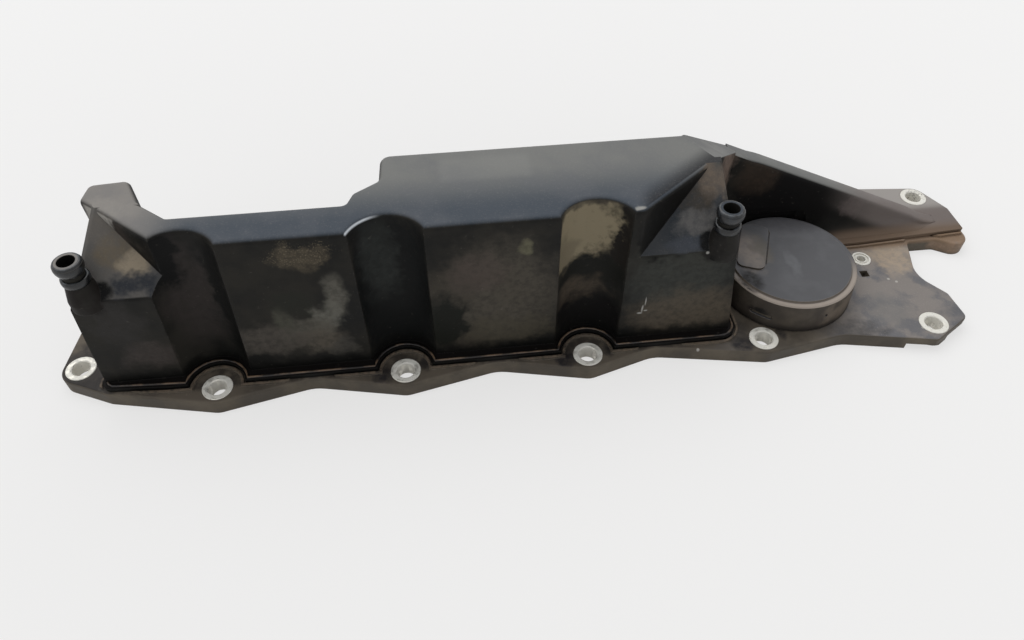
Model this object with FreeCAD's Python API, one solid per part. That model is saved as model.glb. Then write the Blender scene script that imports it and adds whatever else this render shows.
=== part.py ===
import FreeCAD, Part

import math
import os

# Moulded engine valve cover with a welded oil separator and a crankcase pressure valve.
# Frame: millimetres, +Z up, the sealing face at z = 0 and the origin on the axis of the
# middle front bolt. +X runs along the front bolt row and +Y to the rear.

# Bolt pattern: a lone bolt at the left corner, five in the front row, six in the rear row
bolt_pitch = 91.0
row_bolts = 5
rear_bolts = 6
rear_row_y = 95.0
rear_row_shift = 32.6
corner_bolt_dx = -68.7
corner_bolt_y = 19.6

# Metal sleeves, the locating bush and the key hole in front of it
sleeve_r = 7.4
sleeve_bore_r = 4.4
sleeve_proud = 0.35
sleeve_chamfer = 0.5
press_gap = 0.03
sink = 0.5
bush_r = 5.2
bush_bore_r = 2.4
bush_rim_w = 1.2
bush_dish = 0.8
bush_proud = 0.6
bush_cap_gap = 14.5
bush_dy = 12.3
key_hole_side = 4.4
key_hole_dx = -2.8
key_hole_dy = -11.3

# Base flange
flange_t = 8.0
roof_t = 3.0
edge_round = 1.2
lobe_r = 9.3
rear_lobe_r = 9.0
flange_rear_y = 107.0
rear_shoulder_dx = -30.3
ear_t = 4.5
ear_start_dx = -17.0
ear_depth_y = 24.0
ear_boss_r = 8.7

# Corners of the base outline, each (distance in x from its bolt, y, radius). A negative
# radius is a hollow corner.
left_corner = (-50.0, 9.5, 8.0)
ear_tip = (-3.0, -8.0, 3.0)
ear_side = (15.5, 4.5, 4.0)
ear_shoulder = (15.0, 18.5, 3.0)
fork_hollow = (24.5, 38.0, -16.2)
fork_corner = (15.5, 58.6, -2.0)
fork_top = (30.0, 55.6, -5.0)
arm_lobe = (42.0, 62.8, 7.5)
arm_rear = (45.0, 82.0, 4.0)

# Hollows between the front bolts: radius, then (shift in x, shift in y) of each
valley_r = 20.0
valley_shifts = ((0.0, 0.0), (0.0, 0.0), (-10.0, 0.0), (-4.0, -2.5))

# Seal and underside
seal_w = 3.6
seal_h = 3.2
seal_clear = 0.2
seal_front_y = 5.5
seal_rear_y = 101.0
seal_bolt_r = 12.6
seal_corner_r = 6.0
seal_low_dx = -47.0
seal_mid_dx = -63.5
seal_mid_y = 33.0
seal_rear_dx = 2.5
rim_half = 5.0
boss_wall = 2.4
rib_t = 2.5
rib_foot_z = 1.5
rib_y = 64.8
last_rib_dx = -3.0
window_ledge = 4.0
arm_rim = 6.0

# Separator housing
wall = 2.5
front_wall_y = 7.0
rear_wall_y = 59.5
top_z = 94.0
low_deck_z = 34.0
recess_r = 17.5
recess_leans = (4.5, 0.0, 0.0)
rim_round = 2.6
left_end_dx = -53.3
left_splay = 0.35
left_draft = 0.09
box_cap_gap = 3.5
right_draft = 0.135
shelf_front_z = 65.5
shelf_slope = 0.98
shelf_back = 3.92
left_box_dx = -4.0
left_box_cut = 14.0

# Plan of the tower: (front bolt it is measured from, distance in x, y, radius)
tower_r = 3.0
tower_plan = (
    (1, -38.0, 43.5, tower_r),
    (1, 1.5, front_wall_y + tower_r, tower_r),
    (3, 19.5, front_wall_y + tower_r, tower_r),
    (3, 58.5, 40.5, tower_r),
    (4, -7.5, 72.5, 1.5),
    (4, -8.0, 77.0, tower_r),
    (3, 49.0, rear_wall_y, 0.0),
    (2, 3.0, rear_wall_y - 5.0, 5.0),
    (2, -6.0, 43.5, -3.5),
    (2, -11.5, 32.0, tower_r),
    (2, -19.0, 29.5, -tower_r),
    (1, -0.5, 29.5, -tower_r),
    (1, -11.0, 39.5, -4.0),
    (1, -24.5, 51.0, 3.5),
    (1, -36.5, 50.0, 3.5),
)

# Sloping end of the tower's roof, and the ridge that falls from it to the plate
hip_rear_dx = 49.0
hip_front_dx = 61.0
hip_front_y = 38.0
hip_low_dx = -4.5
ridge_front_y = 71.0
ridge_w = 9.0
ridge_start_dx = -9.0
ridge_end_dx = 18.0
ridge_high_z = 69.0
ridge_low_z = 17.0
ridge_cap_gap = 0.8
ridge_cap_over = 3.0

# Weld lip round the housing's foot, and the thin flash rib outside it
lip_t = 2.5
lip_front_y = 1.2
lip_side = 3.4
lip_bolt_r = 13.6
lip_cap_gap = 1.2
lip_corner_r = 9.0
lip_waist_r = 6.0
lip_left_corner = (-49.6, 8.0, 5.0)
lip_left_front = (-23.0, 6.2, 5.0)
lip_left_hollow = (-41.0, 62.0, -4.0)
apron_gap = 1.0
apron_corner_r = 6.0
apron_low_y = 77.5
groove_y = 60.6
groove_rise = 4.2
flash_gap = 0.8
flash_w = 1.2
flash_h = 1.3
flash_edge = 2.2
flash_cap_gap = 0.6

# Gussets behind the housing
gusset_depth = 22.0
gusset_drop = 6.0

# Hose stubs
stub_r = 4.8
stub_bore_r = 3.8
stub_bead_r = 6.2
stub_bead_h = 3.6
stub_soft = 1.1
stub_neck_h = 5.0
stub_ring_r = 6.0
stub_ring_h = 2.4
stub_foot_r = 7.6
stub_foot_h = 5.0
stub_sink = 4.0
stub_y = 11.0
left_stub_dx = -41.1
left_stub_z = 87.2
right_stub_inset = 13.8
right_stub_z = 88.0

# Baffle plate
baffle_t = 2.0
baffle_clear = 0.4
slot_w = 3.0
slot_l = 18.0
slot_pitch = 7.0
slot_count = 7
slot_inset = 24.0
drain_r = 4.5
drain_bore_r = 2.4
drain_drop = 6.0
drain_dy = 4.0
drain_dx = 0.75
vane_t = 2.0
vane_clear = 1.5
vane_l = 24.0
vane_gap = 4.5
vane_count = 4
vane_start = 0.35
vane_step = 0.55

# Cap of the pressure valve
cap_sleeve_gap = 0.77
cap_bearing = 58.99
cap_top_z = 26.0
cap_top_r = 34.4
cap_flare = 1.3
cap_foot_gap = 0.4
cap_wall = 2.0
cap_rim_w = 2.6
cap_step = 1.1
cap_edge = 0.6
pad_w = 14.4
pad_l = 34.0
pad_r = 4.0
pad_turn = -22.5
pad_proud = 1.2
pad_dx = -17.0
pad_dy = 10.6
pad_groove_w = 0.9
pad_groove_depth = 0.8
snap_angles = (-129.5, -9.5, 110.5)
snap_w = 11.4
snap_h = 2.0
snap_z = 13.4
snap_clear = 0.4
vent_r = 0.8
vent_angle = -74.4
vent_z = 17.0

# Pressure valve under the cap
pot_gap = 0.2
pot_wall = 2.2
pot_z = 17.0
bead_h = 2.0
film_t = 1.0
fold_edge = 2.0
fold_flat = 4.0
fold_depth = 3.0
plate_r = 15.0
plate_t = 2.0
button_r = 3.0
button_lip = 1.2
button_h = 1.6
travel = 3.5
seat_r = 9.0
seat_bore_r = 6.5
stop_r = 4.6
stop_bore_r = 2.6
run_gap = 0.3
inlet_r = 2.6
inlet_count = 8
inlet_inset = 5.0
wire_r = 0.6
spring_r = 11.6
spring_half_turns = 7


def vec(x, y, z=0.0):
    return FreeCAD.Vector(x, y, z)


def front_x(index):
    """x of bolt 1 to 5 of the front row, spread evenly about the origin."""
    return (index - (row_bolts + 1) / 2.0) * bolt_pitch


x1 = front_x(1)
x2 = front_x(2)
x3 = front_x(3)
x4 = front_x(4)
x5 = front_x(row_bolts)

last_rear_x = x5 + rear_row_shift
corner_bolt = (x1 + corner_bolt_dx, corner_bolt_y)
front_points = [corner_bolt] + [(front_x(i + 1), 0.0) for i in range(row_bolts)]
rear_points = [(last_rear_x - (rear_bolts - 1 - i) * bolt_pitch, rear_row_y) for i in range(rear_bolts)]
recess_points = [(x1, 0.0), (x2, 0.0), (x3, 0.0)]
cap_foot_r = cap_top_r + cap_flare
pot_r = cap_top_r - cap_wall - pot_gap
pot_inner_r = pot_r - pot_wall
fold_in_r = plate_r + fold_edge
fold_out_r = pot_inner_r - fold_edge
inlet_circle_r = pot_inner_r - inlet_inset
cap_reach = sleeve_r + cap_foot_r + cap_sleeve_gap
cap_point = (x4 + cap_reach * math.cos(math.radians(cap_bearing)),
             cap_reach * math.sin(math.radians(cap_bearing)))
bush_point = (cap_point[0] + cap_foot_r + bush_cap_gap, cap_point[1] + bush_dy)
shelf_depth_y = front_wall_y + (top_z - shelf_front_z) / shelf_slope + shelf_back
left_end = x1 + left_end_dx
right_end = cap_point[0] - cap_foot_r - box_cap_gap
left_stub = x1 + left_stub_dx
right_stub = right_end - right_stub_inset
rib_lines = (x1 + bolt_pitch / 2.0, x2 + bolt_pitch / 2.0, x3 + bolt_pitch / 2.0, x4 + last_rib_dx)
seal_right = bush_point[0] - bush_r - boss_wall - seal_clear - seal_w / 2.0
outer_reach = 60.0


def tangent_normal(a, b):
    """Right-hand unit normal of the straight that touches two signed circles (x, y, r)."""
    dx = b[0] - a[0]
    dy = b[1] - a[1]
    dist = math.hypot(dx, dy)
    ex = dx / dist
    ey = dy / dist
    c = (a[2] - b[2]) / dist
    s = math.sqrt(1.0 - c * c)
    return (c * ex + s * ey, c * ey - s * ex)


def belt_wire(stops, z=0.0):
    """Closed outline like a belt: straights that touch circles (x, y, r).

    It runs anticlockwise. A positive r is a convex corner, a negative r a hollow one
    and zero a sharp one.
    """
    count = len(stops)
    normals = [tangent_normal(stops[i], stops[(i + 1) % count]) for i in range(count)]
    edges = []
    for i in range(count):
        x, y, r = stops[i]
        before = normals[i - 1]
        after = normals[i]
        start = vec(x + r * before[0], y + r * before[1], z)
        end = vec(x + r * after[0], y + r * after[1], z)
        if start.distanceToPoint(end) > 1e-6:
            turn = math.atan2(before[0] * after[1] - before[1] * after[0],
                              before[0] * after[0] + before[1] * after[1])
            angle = math.atan2(before[1], before[0]) + turn / 2.0
            middle = vec(x + r * math.cos(angle), y + r * math.sin(angle), z)
            edges.append(Part.Arc(start, middle, end).toShape())
        nx, ny, nr = stops[(i + 1) % count]
        reach = vec(nx + nr * after[0], ny + nr * after[1], z)
        edges.append(Part.LineSegment(end, reach).toShape())
    return Part.Wire(edges)


def belt_face(stops, z=0.0):
    return Part.Face(belt_wire(stops, z))


def corner(x, stop):
    """Outline corner (distance, y, r) measured in x from a bolt."""
    return (x + stop[0], stop[1], stop[2])


def prism(face, z0, z1):
    """Straight body on a flat outline, from z0 to z1."""
    base = face.copy()
    base.translate(vec(0, 0, z0 - base.BoundBox.ZMin))
    return base.extrude(vec(0, 0, z1 - z0))


def disc(point, r, z0, z1):
    return Part.makeCylinder(r, z1 - z0, vec(point[0], point[1], z0))


def discs(points, r, z0, z1):
    return [disc(p, r, z0, z1) for p in points]


def ring(point, r_out, r_in, z0, z1):
    return disc(point, r_out, z0, z1).cut(disc(point, r_in, z0 - 1.0, z1 + 1.0))


def block(low, high):
    """Box between two opposite corners."""
    return Part.makeBox(high[0] - low[0], high[1] - low[1], high[2] - low[2], vec(low[0], low[1], low[2]))


def side_profile(points, x_start, x_end):
    """Body with a flat outline (y, z) that runs from x_start to x_end."""
    corners = [vec(x_start, y, z) for y, z in points]
    wire = Part.makePolygon(corners + corners[:1])
    return Part.Face(wire).extrude(vec(x_end - x_start, 0, 0))


def front_profile(points, y_start, y_end):
    """Body with a flat outline (x, z) that runs from y_start to y_end."""
    corners = [vec(x, y_start, z) for x, z in points]
    wire = Part.makePolygon(corners + corners[:1])
    return Part.Face(wire).extrude(vec(0, y_end - y_start, 0))


def turned(point, profile):
    """Body of revolution about the vertical axis at a point, from (r, z) corners."""
    corners = [vec(point[0] + r, point[1], z) for r, z in profile]
    wire = Part.makePolygon(corners + corners[:1])
    return Part.Face(wire).revolve(vec(point[0], point[1], 0), vec(0, 0, 1), 360)


def slab_beyond(a, b, c, side, inset):
    """Thick slab on one side of the plane through three points, moved in by an inset."""
    size = 3.0 * (top_z - flange_t)
    normal = (b - a).cross(c - a)
    normal.normalize()
    if normal.dot(side) < 0:
        normal = normal * -1.0
    u = b - a
    u.normalize()
    v = normal.cross(u)
    corners = [a + u * (size * i) + v * (size * j) for i, j in ((-1, -1), (1, -1), (1, 1), (-1, 1))]
    face = Part.Face(Part.makePolygon(corners + corners[:1]))
    face.translate(normal * -inset)
    return face.extrude(normal * size)


def edges_between(shape, z0, z1):
    """Edges whose whole length lies between two heights."""
    return [e for e in shape.Edges if e.BoundBox.ZMin > z0 and e.BoundBox.ZMax < z1]


def flat_face(body, z):
    """The body's flat face that lies at height z."""
    for face in body.Faces:
        box = face.BoundBox
        if abs(box.ZMin - z) < 1e-6 and abs(box.ZMax - z) < 1e-6:
            return face
    raise ValueError("no flat face at this height")


def grown(face, amount):
    """The same flat outline moved outwards by an amount, or inwards if negative."""
    return face.makeOffset2D(amount)


def flange_face():
    """Scalloped outline of the base: a lobe round each bolt, hollows between, and the fork."""
    stops = [(corner_bolt[0], corner_bolt[1], lobe_r), corner(x1, left_corner)]
    for i, (shift_x, shift_y) in enumerate(valley_shifts):
        x = front_x(i + 1)
        stops.append((x, 0.0, lobe_r))
        stops.append((x + bolt_pitch / 2.0 + shift_x, shift_y - valley_r, -valley_r))
    for stop in (ear_tip, ear_side, ear_shoulder, fork_hollow, fork_corner, fork_top, arm_lobe, arm_rear):
        stops.append(corner(x5, stop))
    stops.append((last_rear_x, rear_row_y, rear_lobe_r))
    stops.append((last_rear_x + rear_shoulder_dx, flange_rear_y - lobe_r, lobe_r))
    stops.append((rear_points[0][0], flange_rear_y - lobe_r, lobe_r))
    return belt_face(stops)


def seal_face():
    """Area inside the middle line of the seal, which passes inside every bolt."""
    r = seal_corner_r
    right = seal_right - r
    stops = [(x1 + seal_low_dx, seal_front_y + r, r),
             (right, seal_front_y + r, r),
             (right, seal_rear_y - r, r),
             (rear_points[0][0] + seal_rear_dx, seal_rear_y - r, r),
             (x1 + seal_mid_dx, seal_mid_y, r)]
    body = prism(belt_face(stops), 0.0, 1.0)
    for point in front_points + rear_points:
        body = body.cut(disc(point, seal_bolt_r, -1.0, 2.0))
    return flat_face(body, 0.0)


def left_slab(inset):
    """Space beyond the left end wall, which leans in and stands askew to the rows."""
    a = vec(left_end, front_wall_y, flange_t)
    b = a + vec(left_splay, 1.0, 0.0)
    c = a + vec(left_draft, 0.0, 1.0)
    return slab_beyond(a, b, c, vec(-1, 0, 0), inset)


def between_ends(inset, y_start, y_end):
    """Space between the two leaning end walls."""
    lean = right_draft * (top_z - flange_t)
    low = right_draft * inset
    far = left_end - outer_reach
    outline = [(far, flange_t - inset), (right_end - inset + low, flange_t - inset),
               (right_end - inset + low - lean, top_z - inset), (far, top_z - inset)]
    return front_profile(outline, y_start, y_end).cut(left_slab(inset))


def bolt_recess(index, inset):
    """Half-round recess over a front bolt; its axis may lean a little as it rises."""
    x, y = recess_points[index]
    axis = vec(recess_leans[index], 0.0, top_z - flange_t)
    start = vec(x, y, flange_t) - axis * 0.5
    return Part.makeCylinder(recess_r + inset, axis.Length * 2.0, start, axis)


def without_recesses(body, inset):
    for i in range(len(recess_points)):
        body = body.cut(bolt_recess(i, inset))
    return body


def hip_slab(inset):
    """Space above the sloping end of the roof, where it falls to the ridge."""
    a = vec(x3 + hip_rear_dx, rear_wall_y, top_z)
    b = vec(x3 + hip_front_dx, hip_front_y, top_z)
    c = vec(x4 + hip_low_dx, ridge_front_y + ridge_w / 2.0, ridge_high_z)
    return slab_beyond(a, b, c, vec(0, 0, 1), inset)


def tower_body(inset):
    """Full-height part, with the bolt recesses, the sloping end and a rounded roof rim."""
    face = belt_face([(front_x(bolt) + dx, y, r) for bolt, dx, y, r in tower_plan])
    if inset:
        face = grown(face, -inset)
    body = without_recesses(prism(face, flange_t - inset, top_z - inset), inset)
    if not inset:
        rim = edges_between(body, top_z - 0.01, top_z + 0.01)
        body = body.makeFillet(rim_round, rim)
    return body.cut(hip_slab(inset))


def shelf_profile(inset):
    """Side view (y, z) of an end box: front wall, sloping shelf, and back down."""
    drop = inset * math.hypot(1.0, shelf_slope)
    front = front_wall_y + inset
    rear = shelf_depth_y - inset
    z_front = shelf_front_z - drop + shelf_slope * inset
    y_top = front + (top_z - inset - z_front) / shelf_slope
    return [(front, flange_t - inset), (rear, flange_t - inset), (rear, top_z - inset),
            (y_top, top_z - inset), (front, z_front)]


def left_box(inset):
    """Lower box at the left end; its rear inner corner is cut off where the tower is narrow."""
    right = x1 + left_box_dx - inset
    body = side_profile(shelf_profile(inset), left_end - outer_reach, right)
    cut = [(right - left_box_cut, shelf_depth_y, 0.0), (right, shelf_depth_y - left_box_cut, 0.0),
           (right + left_box_cut, shelf_depth_y, 0.0)]
    body = body.cut(prism(belt_face(cut), 0.0, top_z + 1.0))
    return body.common(between_ends(inset, 0.0, flange_rear_y))


def right_box(inset):
    body = side_profile(shelf_profile(inset), x3 + recess_r, right_end + outer_reach)
    return body.common(between_ends(inset, 0.0, flange_rear_y))


def end_boxes(inset):
    """Lower boxes at both ends, whose sloping shelves carry the hose stubs."""
    boxes = [left_box(inset), right_box(inset)]
    if not inset:
        boxes = [box.makeFillet(rim_round, shelf_edges(box)) for box in boxes]
    return [without_recesses(box, inset) for box in boxes]


def shelf_edges(box):
    """The front edge of the shelf and the sloping edge at the outer end of the box."""
    shelf_run = (top_z - shelf_front_z) / 2.0
    chosen = []
    for edge in box.Edges:
        b = edge.BoundBox
        low_front = b.YMax < front_wall_y + 0.01 and b.ZMin > flange_t + 1.0
        outer = b.XMin > right_end - shelf_run or b.XMax < left_end + 2.0 * shelf_run
        sloping = b.ZMin > shelf_front_z - 1.0 and b.YLength > shelf_run and b.ZLength > shelf_run
        across = b.XLength > b.ZLength
        if (low_front and across and b.ZMax < shelf_front_z + 1.0) or (outer and sloping):
            chosen.append(edge)
    return chosen


def low_deck(inset):
    """Low rear part of the housing, between the ends."""
    body = between_ends(inset, front_wall_y + inset, rear_wall_y - inset)
    above = block((left_end - outer_reach, 0.0, low_deck_z - inset),
                  (right_end + outer_reach, flange_rear_y, top_z + 1.0))
    return without_recesses(body.cut(above), inset)


def ridge_body(inset):
    """Hollow ridge that falls from the tower to the right-hand plate."""
    x_left = x4 + ridge_start_dx
    x_right = x5 + ridge_end_dx
    fall = (ridge_high_z - ridge_low_z) / (x_right - x4 - hip_low_dx)
    z_left = ridge_low_z + fall * (x_right - x_left)
    outline = [(x_left, flange_t - inset), (x_right - inset, flange_t - inset),
               (x_right - inset, ridge_low_z - inset), (x_left, z_left - inset)]
    body = front_profile(outline, ridge_front_y + inset, ridge_front_y + ridge_w - inset)
    return body


def housing_volume(inset):
    """Outside of the housing, or its hollow when an inset is given."""
    body = tower_body(inset)
    for part in end_boxes(inset) + [low_deck(inset), ridge_body(inset)]:
        body = body.fuse(part)
    room = disc(cap_point, cap_foot_r + ridge_cap_gap + inset, 0.0, cap_top_z + ridge_cap_over + inset)
    return body.cut(room)


def lip_face():
    """Plan of the weld lip and of the thin apron behind the groove."""
    right = right_end + lip_side
    rear = flange_rear_y - apron_gap
    apron_left = rear_points[0][0] - lobe_r + apron_gap + apron_corner_r
    arm_x = x5 + arm_lobe[0] + arm_lobe[2] - 2.0 * apron_gap
    stops = [corner(x1, lip_left_corner),
             corner(x1, lip_left_front),
             (right - lip_corner_r, lip_front_y + lip_corner_r, lip_corner_r),
             (right + lip_waist_r, groove_y - lip_waist_r, -lip_waist_r),
             (x5 + ear_start_dx, groove_y, 0.0),
             (arm_x, groove_y + groove_rise + apron_gap, apron_gap),
             (x5 + arm_rear[0], arm_rear[1], arm_rear[2] - apron_gap),
             (last_rear_x, rear_row_y, rear_lobe_r - apron_gap),
             (last_rear_x + rear_shoulder_dx, flange_rear_y - lobe_r, lobe_r - apron_gap),
             (apron_left, rear - apron_corner_r, apron_corner_r),
             (apron_left, apron_low_y, apron_corner_r),
             corner(x1, lip_left_hollow)]
    return belt_face(stops)


def lip_body(grow, z0, z1):
    """The lip's plan made larger or smaller, cut back round the bolts and the cap."""
    face = lip_face()
    if grow:
        face = grown(face, grow)
    body = prism(face, z0, z1)
    for point in recess_points + [(x4, 0.0)]:
        body = body.cut(disc(point, lip_bolt_r - grow, z0 - 1.0, z1 + 1.0))
    return body.cut(disc(cap_point, cap_foot_r + lip_cap_gap - grow, z0 - 1.0, z1 + 1.0))


def hose_stub(x, z_top):
    """Upright stub with a rounded bead at its mouth, a ring half way and a conical foot."""
    z_bead = z_top - stub_bead_h
    z_ring = z_bead - stub_neck_h
    z_cone = z_ring - stub_ring_h
    z_foot = shelf_front_z - stub_sink
    half = stub_soft / 2.0
    profile = [(0.0, z_foot), (stub_foot_r, z_foot), (stub_foot_r, z_foot + stub_foot_h),
               (stub_r + half, z_cone), (stub_ring_r, z_cone + half / 2.0), (stub_ring_r, z_ring - half),
               (stub_r, z_ring), (stub_r, z_bead - half), (stub_bead_r, z_bead + stub_soft),
               (stub_bead_r, z_top - stub_soft), (stub_bead_r - stub_soft, z_top), (0.0, z_top)]
    return turned((x, stub_y), profile)


def separator_housing():
    outer = housing_volume(0.0)
    outer = outer.fuse([hose_stub(left_stub, left_stub_z), hose_stub(right_stub, right_stub_z)])
    outer = outer.fuse(lip_body(0.0, flange_t, flange_t + lip_t))
    shell = outer.cut(housing_volume(wall))
    shell = shell.cut(block((left_end - outer_reach, -outer_reach, -flange_t),
                            (x5 + 2.0 * outer_reach, flange_rear_y + outer_reach, flange_t)))
    for x, z_top in ((left_stub, left_stub_z), (right_stub, right_stub_z)):
        low = shelf_front_z - 3.0 * stub_sink
        shell = shell.cut(disc((x, stub_y), stub_bore_r, low, z_top + 1.0))
    for point in rear_points:
        shell = shell.cut(disc(point, sleeve_r + press_gap, 0.0, flange_t + lip_t + 1.0))
    shell = shell.fuse(housing_gussets())
    return shell.removeSplitter()


def housing_gussets():
    """Upright gussets between the low deck's rear wall and the rear lip."""
    z0 = flange_t + lip_t
    sink = wall / 5.0
    outline = [(rear_wall_y - sink, z0 - sink), (rear_wall_y + gusset_depth, z0 - sink),
               (rear_wall_y - sink, low_deck_z - gusset_drop)]
    parts = []
    for point in rear_points[1:4]:
        x = point[0] + bolt_pitch / 2.0
        parts.append(side_profile(outline, x - rib_t / 2.0, x + rib_t / 2.0))
    return parts


def hollow_foot():
    """Plan of the housing's hollow at its foot, without the ridge."""
    body = between_ends(wall, front_wall_y + wall, rear_wall_y - wall)
    low = block((left_end - outer_reach, 0.0, flange_t - 1.0), (right_end, rear_wall_y, flange_t))
    body = body.common(low)
    for point in recess_points:
        body = body.cut(disc(point, recess_r + wall, 0.0, top_z))
    return flat_face(body, flange_t)


def base_plate():
    """Flange body with rounded top edges."""
    body = prism(flange_face(), 0.0, flange_t)
    rim = edges_between(body, flange_t - 0.01, flange_t + 0.01)
    return body.makeFillet(edge_round, rim)


def underside():
    """The pocket hollowed out of the base from below, with ribs left standing in it."""
    pocket = prism(grown(seal_face(), -rim_half), -1.0, flange_t - roof_t)
    for x in rib_lines:
        rib = block((x - rib_t / 2.0, 0.0, rib_foot_z), (x + rib_t / 2.0, seal_rear_y, flange_t))
        pocket = pocket.cut(rib)
    return pocket.cut(block((left_end - outer_reach, rib_y - rib_t / 2.0, rib_foot_z),
                            (x5, rib_y + rib_t / 2.0, flange_t)))


def window():
    """Openings under the separator, with a ledge that the baffle plate rests on."""
    hole = prism(grown(hollow_foot(), -window_ledge), -1.0, flange_t + 1.0)
    for x in rib_lines[:2]:
        hole = hole.cut(block((x - rib_t, 0.0, -2.0), (x + rib_t, rear_wall_y, flange_t + 2.0)))
    return hole


def seal_ring(half_width, z0, z1):
    """Closed band along the seal's middle line."""
    face = seal_face()
    outer = prism(grown(face, half_width), z0, z1)
    return outer.cut(prism(grown(face, -half_width), z0 - 1.0, z1 + 1.0))


def ear_relief():
    """The front ear is thinner than the flange; only the bolt's boss reaches down."""
    body = block((x5 + ear_start_dx, -outer_reach, -1.0), (x5 + outer_reach, ear_depth_y, flange_t - ear_t))
    return body.cut(disc((x5, 0.0), ear_boss_r, -2.0, flange_t))


def arm_relief():
    """Hollow under the rear arm, inside a rim of its own."""
    body = prism(arm_hollow_face(), -1.0, flange_t - roof_t)
    return body.cut(disc(rear_points[-1], sleeve_r + boss_wall, -2.0, flange_t))


def arm_hollow_face():
    """Plan of the hollow under the arm: from the seal to the arm's edge, less the rims."""
    left = seal_right + seal_w + arm_rim
    y0 = fork_top[1] - fork_top[2] + arm_rim
    stops = [(left, y0 + 1.0, 1.0), (x5 + arm_lobe[0] - 1.0, y0 + 1.0, 1.0),
             (x5 + arm_rear[0] - arm_rim, arm_rear[1], 1.0),
             (last_rear_x, rear_row_y, 1.0), (left, rear_row_y, 1.0)]
    return belt_face(stops)


def flash_rib():
    """Thin rib beside the weld lip, kept inside the flange's own edge."""
    outer = lip_body(flash_gap + flash_w, flange_t - 0.5, flange_t + flash_h)
    rib = outer.cut(lip_body(flash_gap, flange_t - 1.0, flange_t + flash_h + 1.0))
    rib = rib.common(block((left_end - outer_reach, -outer_reach, flange_t - 1.0),
                           (x5 + outer_reach, groove_y + groove_rise + 1.0, top_z)))
    rib = rib.cut(disc(cap_point, cap_foot_r + flash_cap_gap, 0.0, top_z))
    return rib.common(prism(grown(flange_face(), -flash_edge), 0.0, top_z))


def seat_height():
    return plate_bottom() - travel - run_gap


def plate_bottom():
    return pot_z + bead_h / 2.0 - film_t / 2.0 - plate_t


def turned_about_cap(body, angle):
    """Body drawn on the cap's own +X axis, turned to an angle and moved to the cap."""
    body.rotate(vec(0, 0, 0), vec(0, 0, 1), angle)
    body.translate(vec(cap_point[0], cap_point[1]))
    return body


def snap_hook(angle):
    """Hook on the pot that stands in one of the cap's windows."""
    half = snap_w / 2.0 - snap_clear
    hook = block((pot_r - pot_wall / 2.0, -half, snap_z + snap_clear),
                 (cap_top_r, half, snap_z + snap_h - snap_clear))
    return turned_about_cap(hook, angle)


def valve_pot():
    """Round wall that holds the diaphragm, its snap hooks, and the outlet seat inside."""
    wall_ring = ring(cap_point, pot_r, pot_inner_r, flange_t - sink, pot_z)
    seat = ring(cap_point, seat_r, seat_bore_r, flange_t - sink, seat_height())
    return [wall_ring, seat] + [snap_hook(angle) for angle in snap_angles]


def valve_inlets():
    """Ring of holes through the pot's floor, and the outlet bore inside the seat."""
    holes = [disc(cap_point, seat_bore_r, -1.0, flange_t + 1.0)]
    for i in range(inlet_count):
        angle = 2.0 * math.pi * (i + 0.5) / inlet_count
        spot = (cap_point[0] + inlet_circle_r * math.cos(angle),
                cap_point[1] + inlet_circle_r * math.sin(angle))
        holes.append(disc(spot, inlet_r, -1.0, flange_t + 1.0))
    return holes


def key_hole():
    half = key_hole_side / 2.0
    x = bush_point[0] + key_hole_dx
    y = bush_point[1] + key_hole_dy
    return block((x - half, y - half, -1.0), (x + half, y + half, flange_t + 1.0))


def base_cover():
    body = base_plate()
    for cut in (underside(), ear_relief(), arm_relief()):
        body = body.cut(cut)
    body = body.fuse(disc(bush_point, bush_r + boss_wall, 0.0, flange_t - 0.5))
    body = body.fuse(flash_rib())
    body = body.fuse(valve_pot())
    body = body.cut(window())
    body = body.cut(seal_ring(seal_w / 2.0 + seal_clear, -1.0, seal_h + seal_clear))
    holes = valve_inlets() + discs(front_points + rear_points, sleeve_r + press_gap, -1.0, flange_t + 1.0)
    holes.append(disc(bush_point, bush_r + press_gap, -1.0, flange_t + 1.0))
    holes.append(key_hole())
    for hole in holes:
        body = body.cut(hole)
    return body.removeSplitter()


def gasket():
    return seal_ring(seal_w / 2.0, 0.0, seal_h)


def sleeve(point, height):
    """Turned sleeve, chamfered at both mouths of its bore."""
    c = sleeve_chamfer
    z = height + sleeve_proud
    profile = [(sleeve_bore_r + c, 0.0), (sleeve_r, 0.0), (sleeve_r, z - c / 2.0), (sleeve_r - c / 2.0, z),
               (sleeve_bore_r + c, z), (sleeve_bore_r, z - c), (sleeve_bore_r, c)]
    return turned(point, profile)


def locating_bush():
    """Small metal bush with a dished face and a raised collar round its bore."""
    z = flange_t + bush_proud
    c = sleeve_chamfer / 2.0
    floor_z = z - bush_dish
    inner = bush_bore_r + bush_dish
    profile = [(bush_bore_r, 0.0), (bush_r, 0.0), (bush_r, z - c), (bush_r - c, z),
               (bush_r - bush_rim_w, z), (bush_r - bush_rim_w, floor_z), (inner, floor_z),
               (inner, z - c), (bush_bore_r, z - c)]
    return turned(bush_point, profile)


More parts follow.
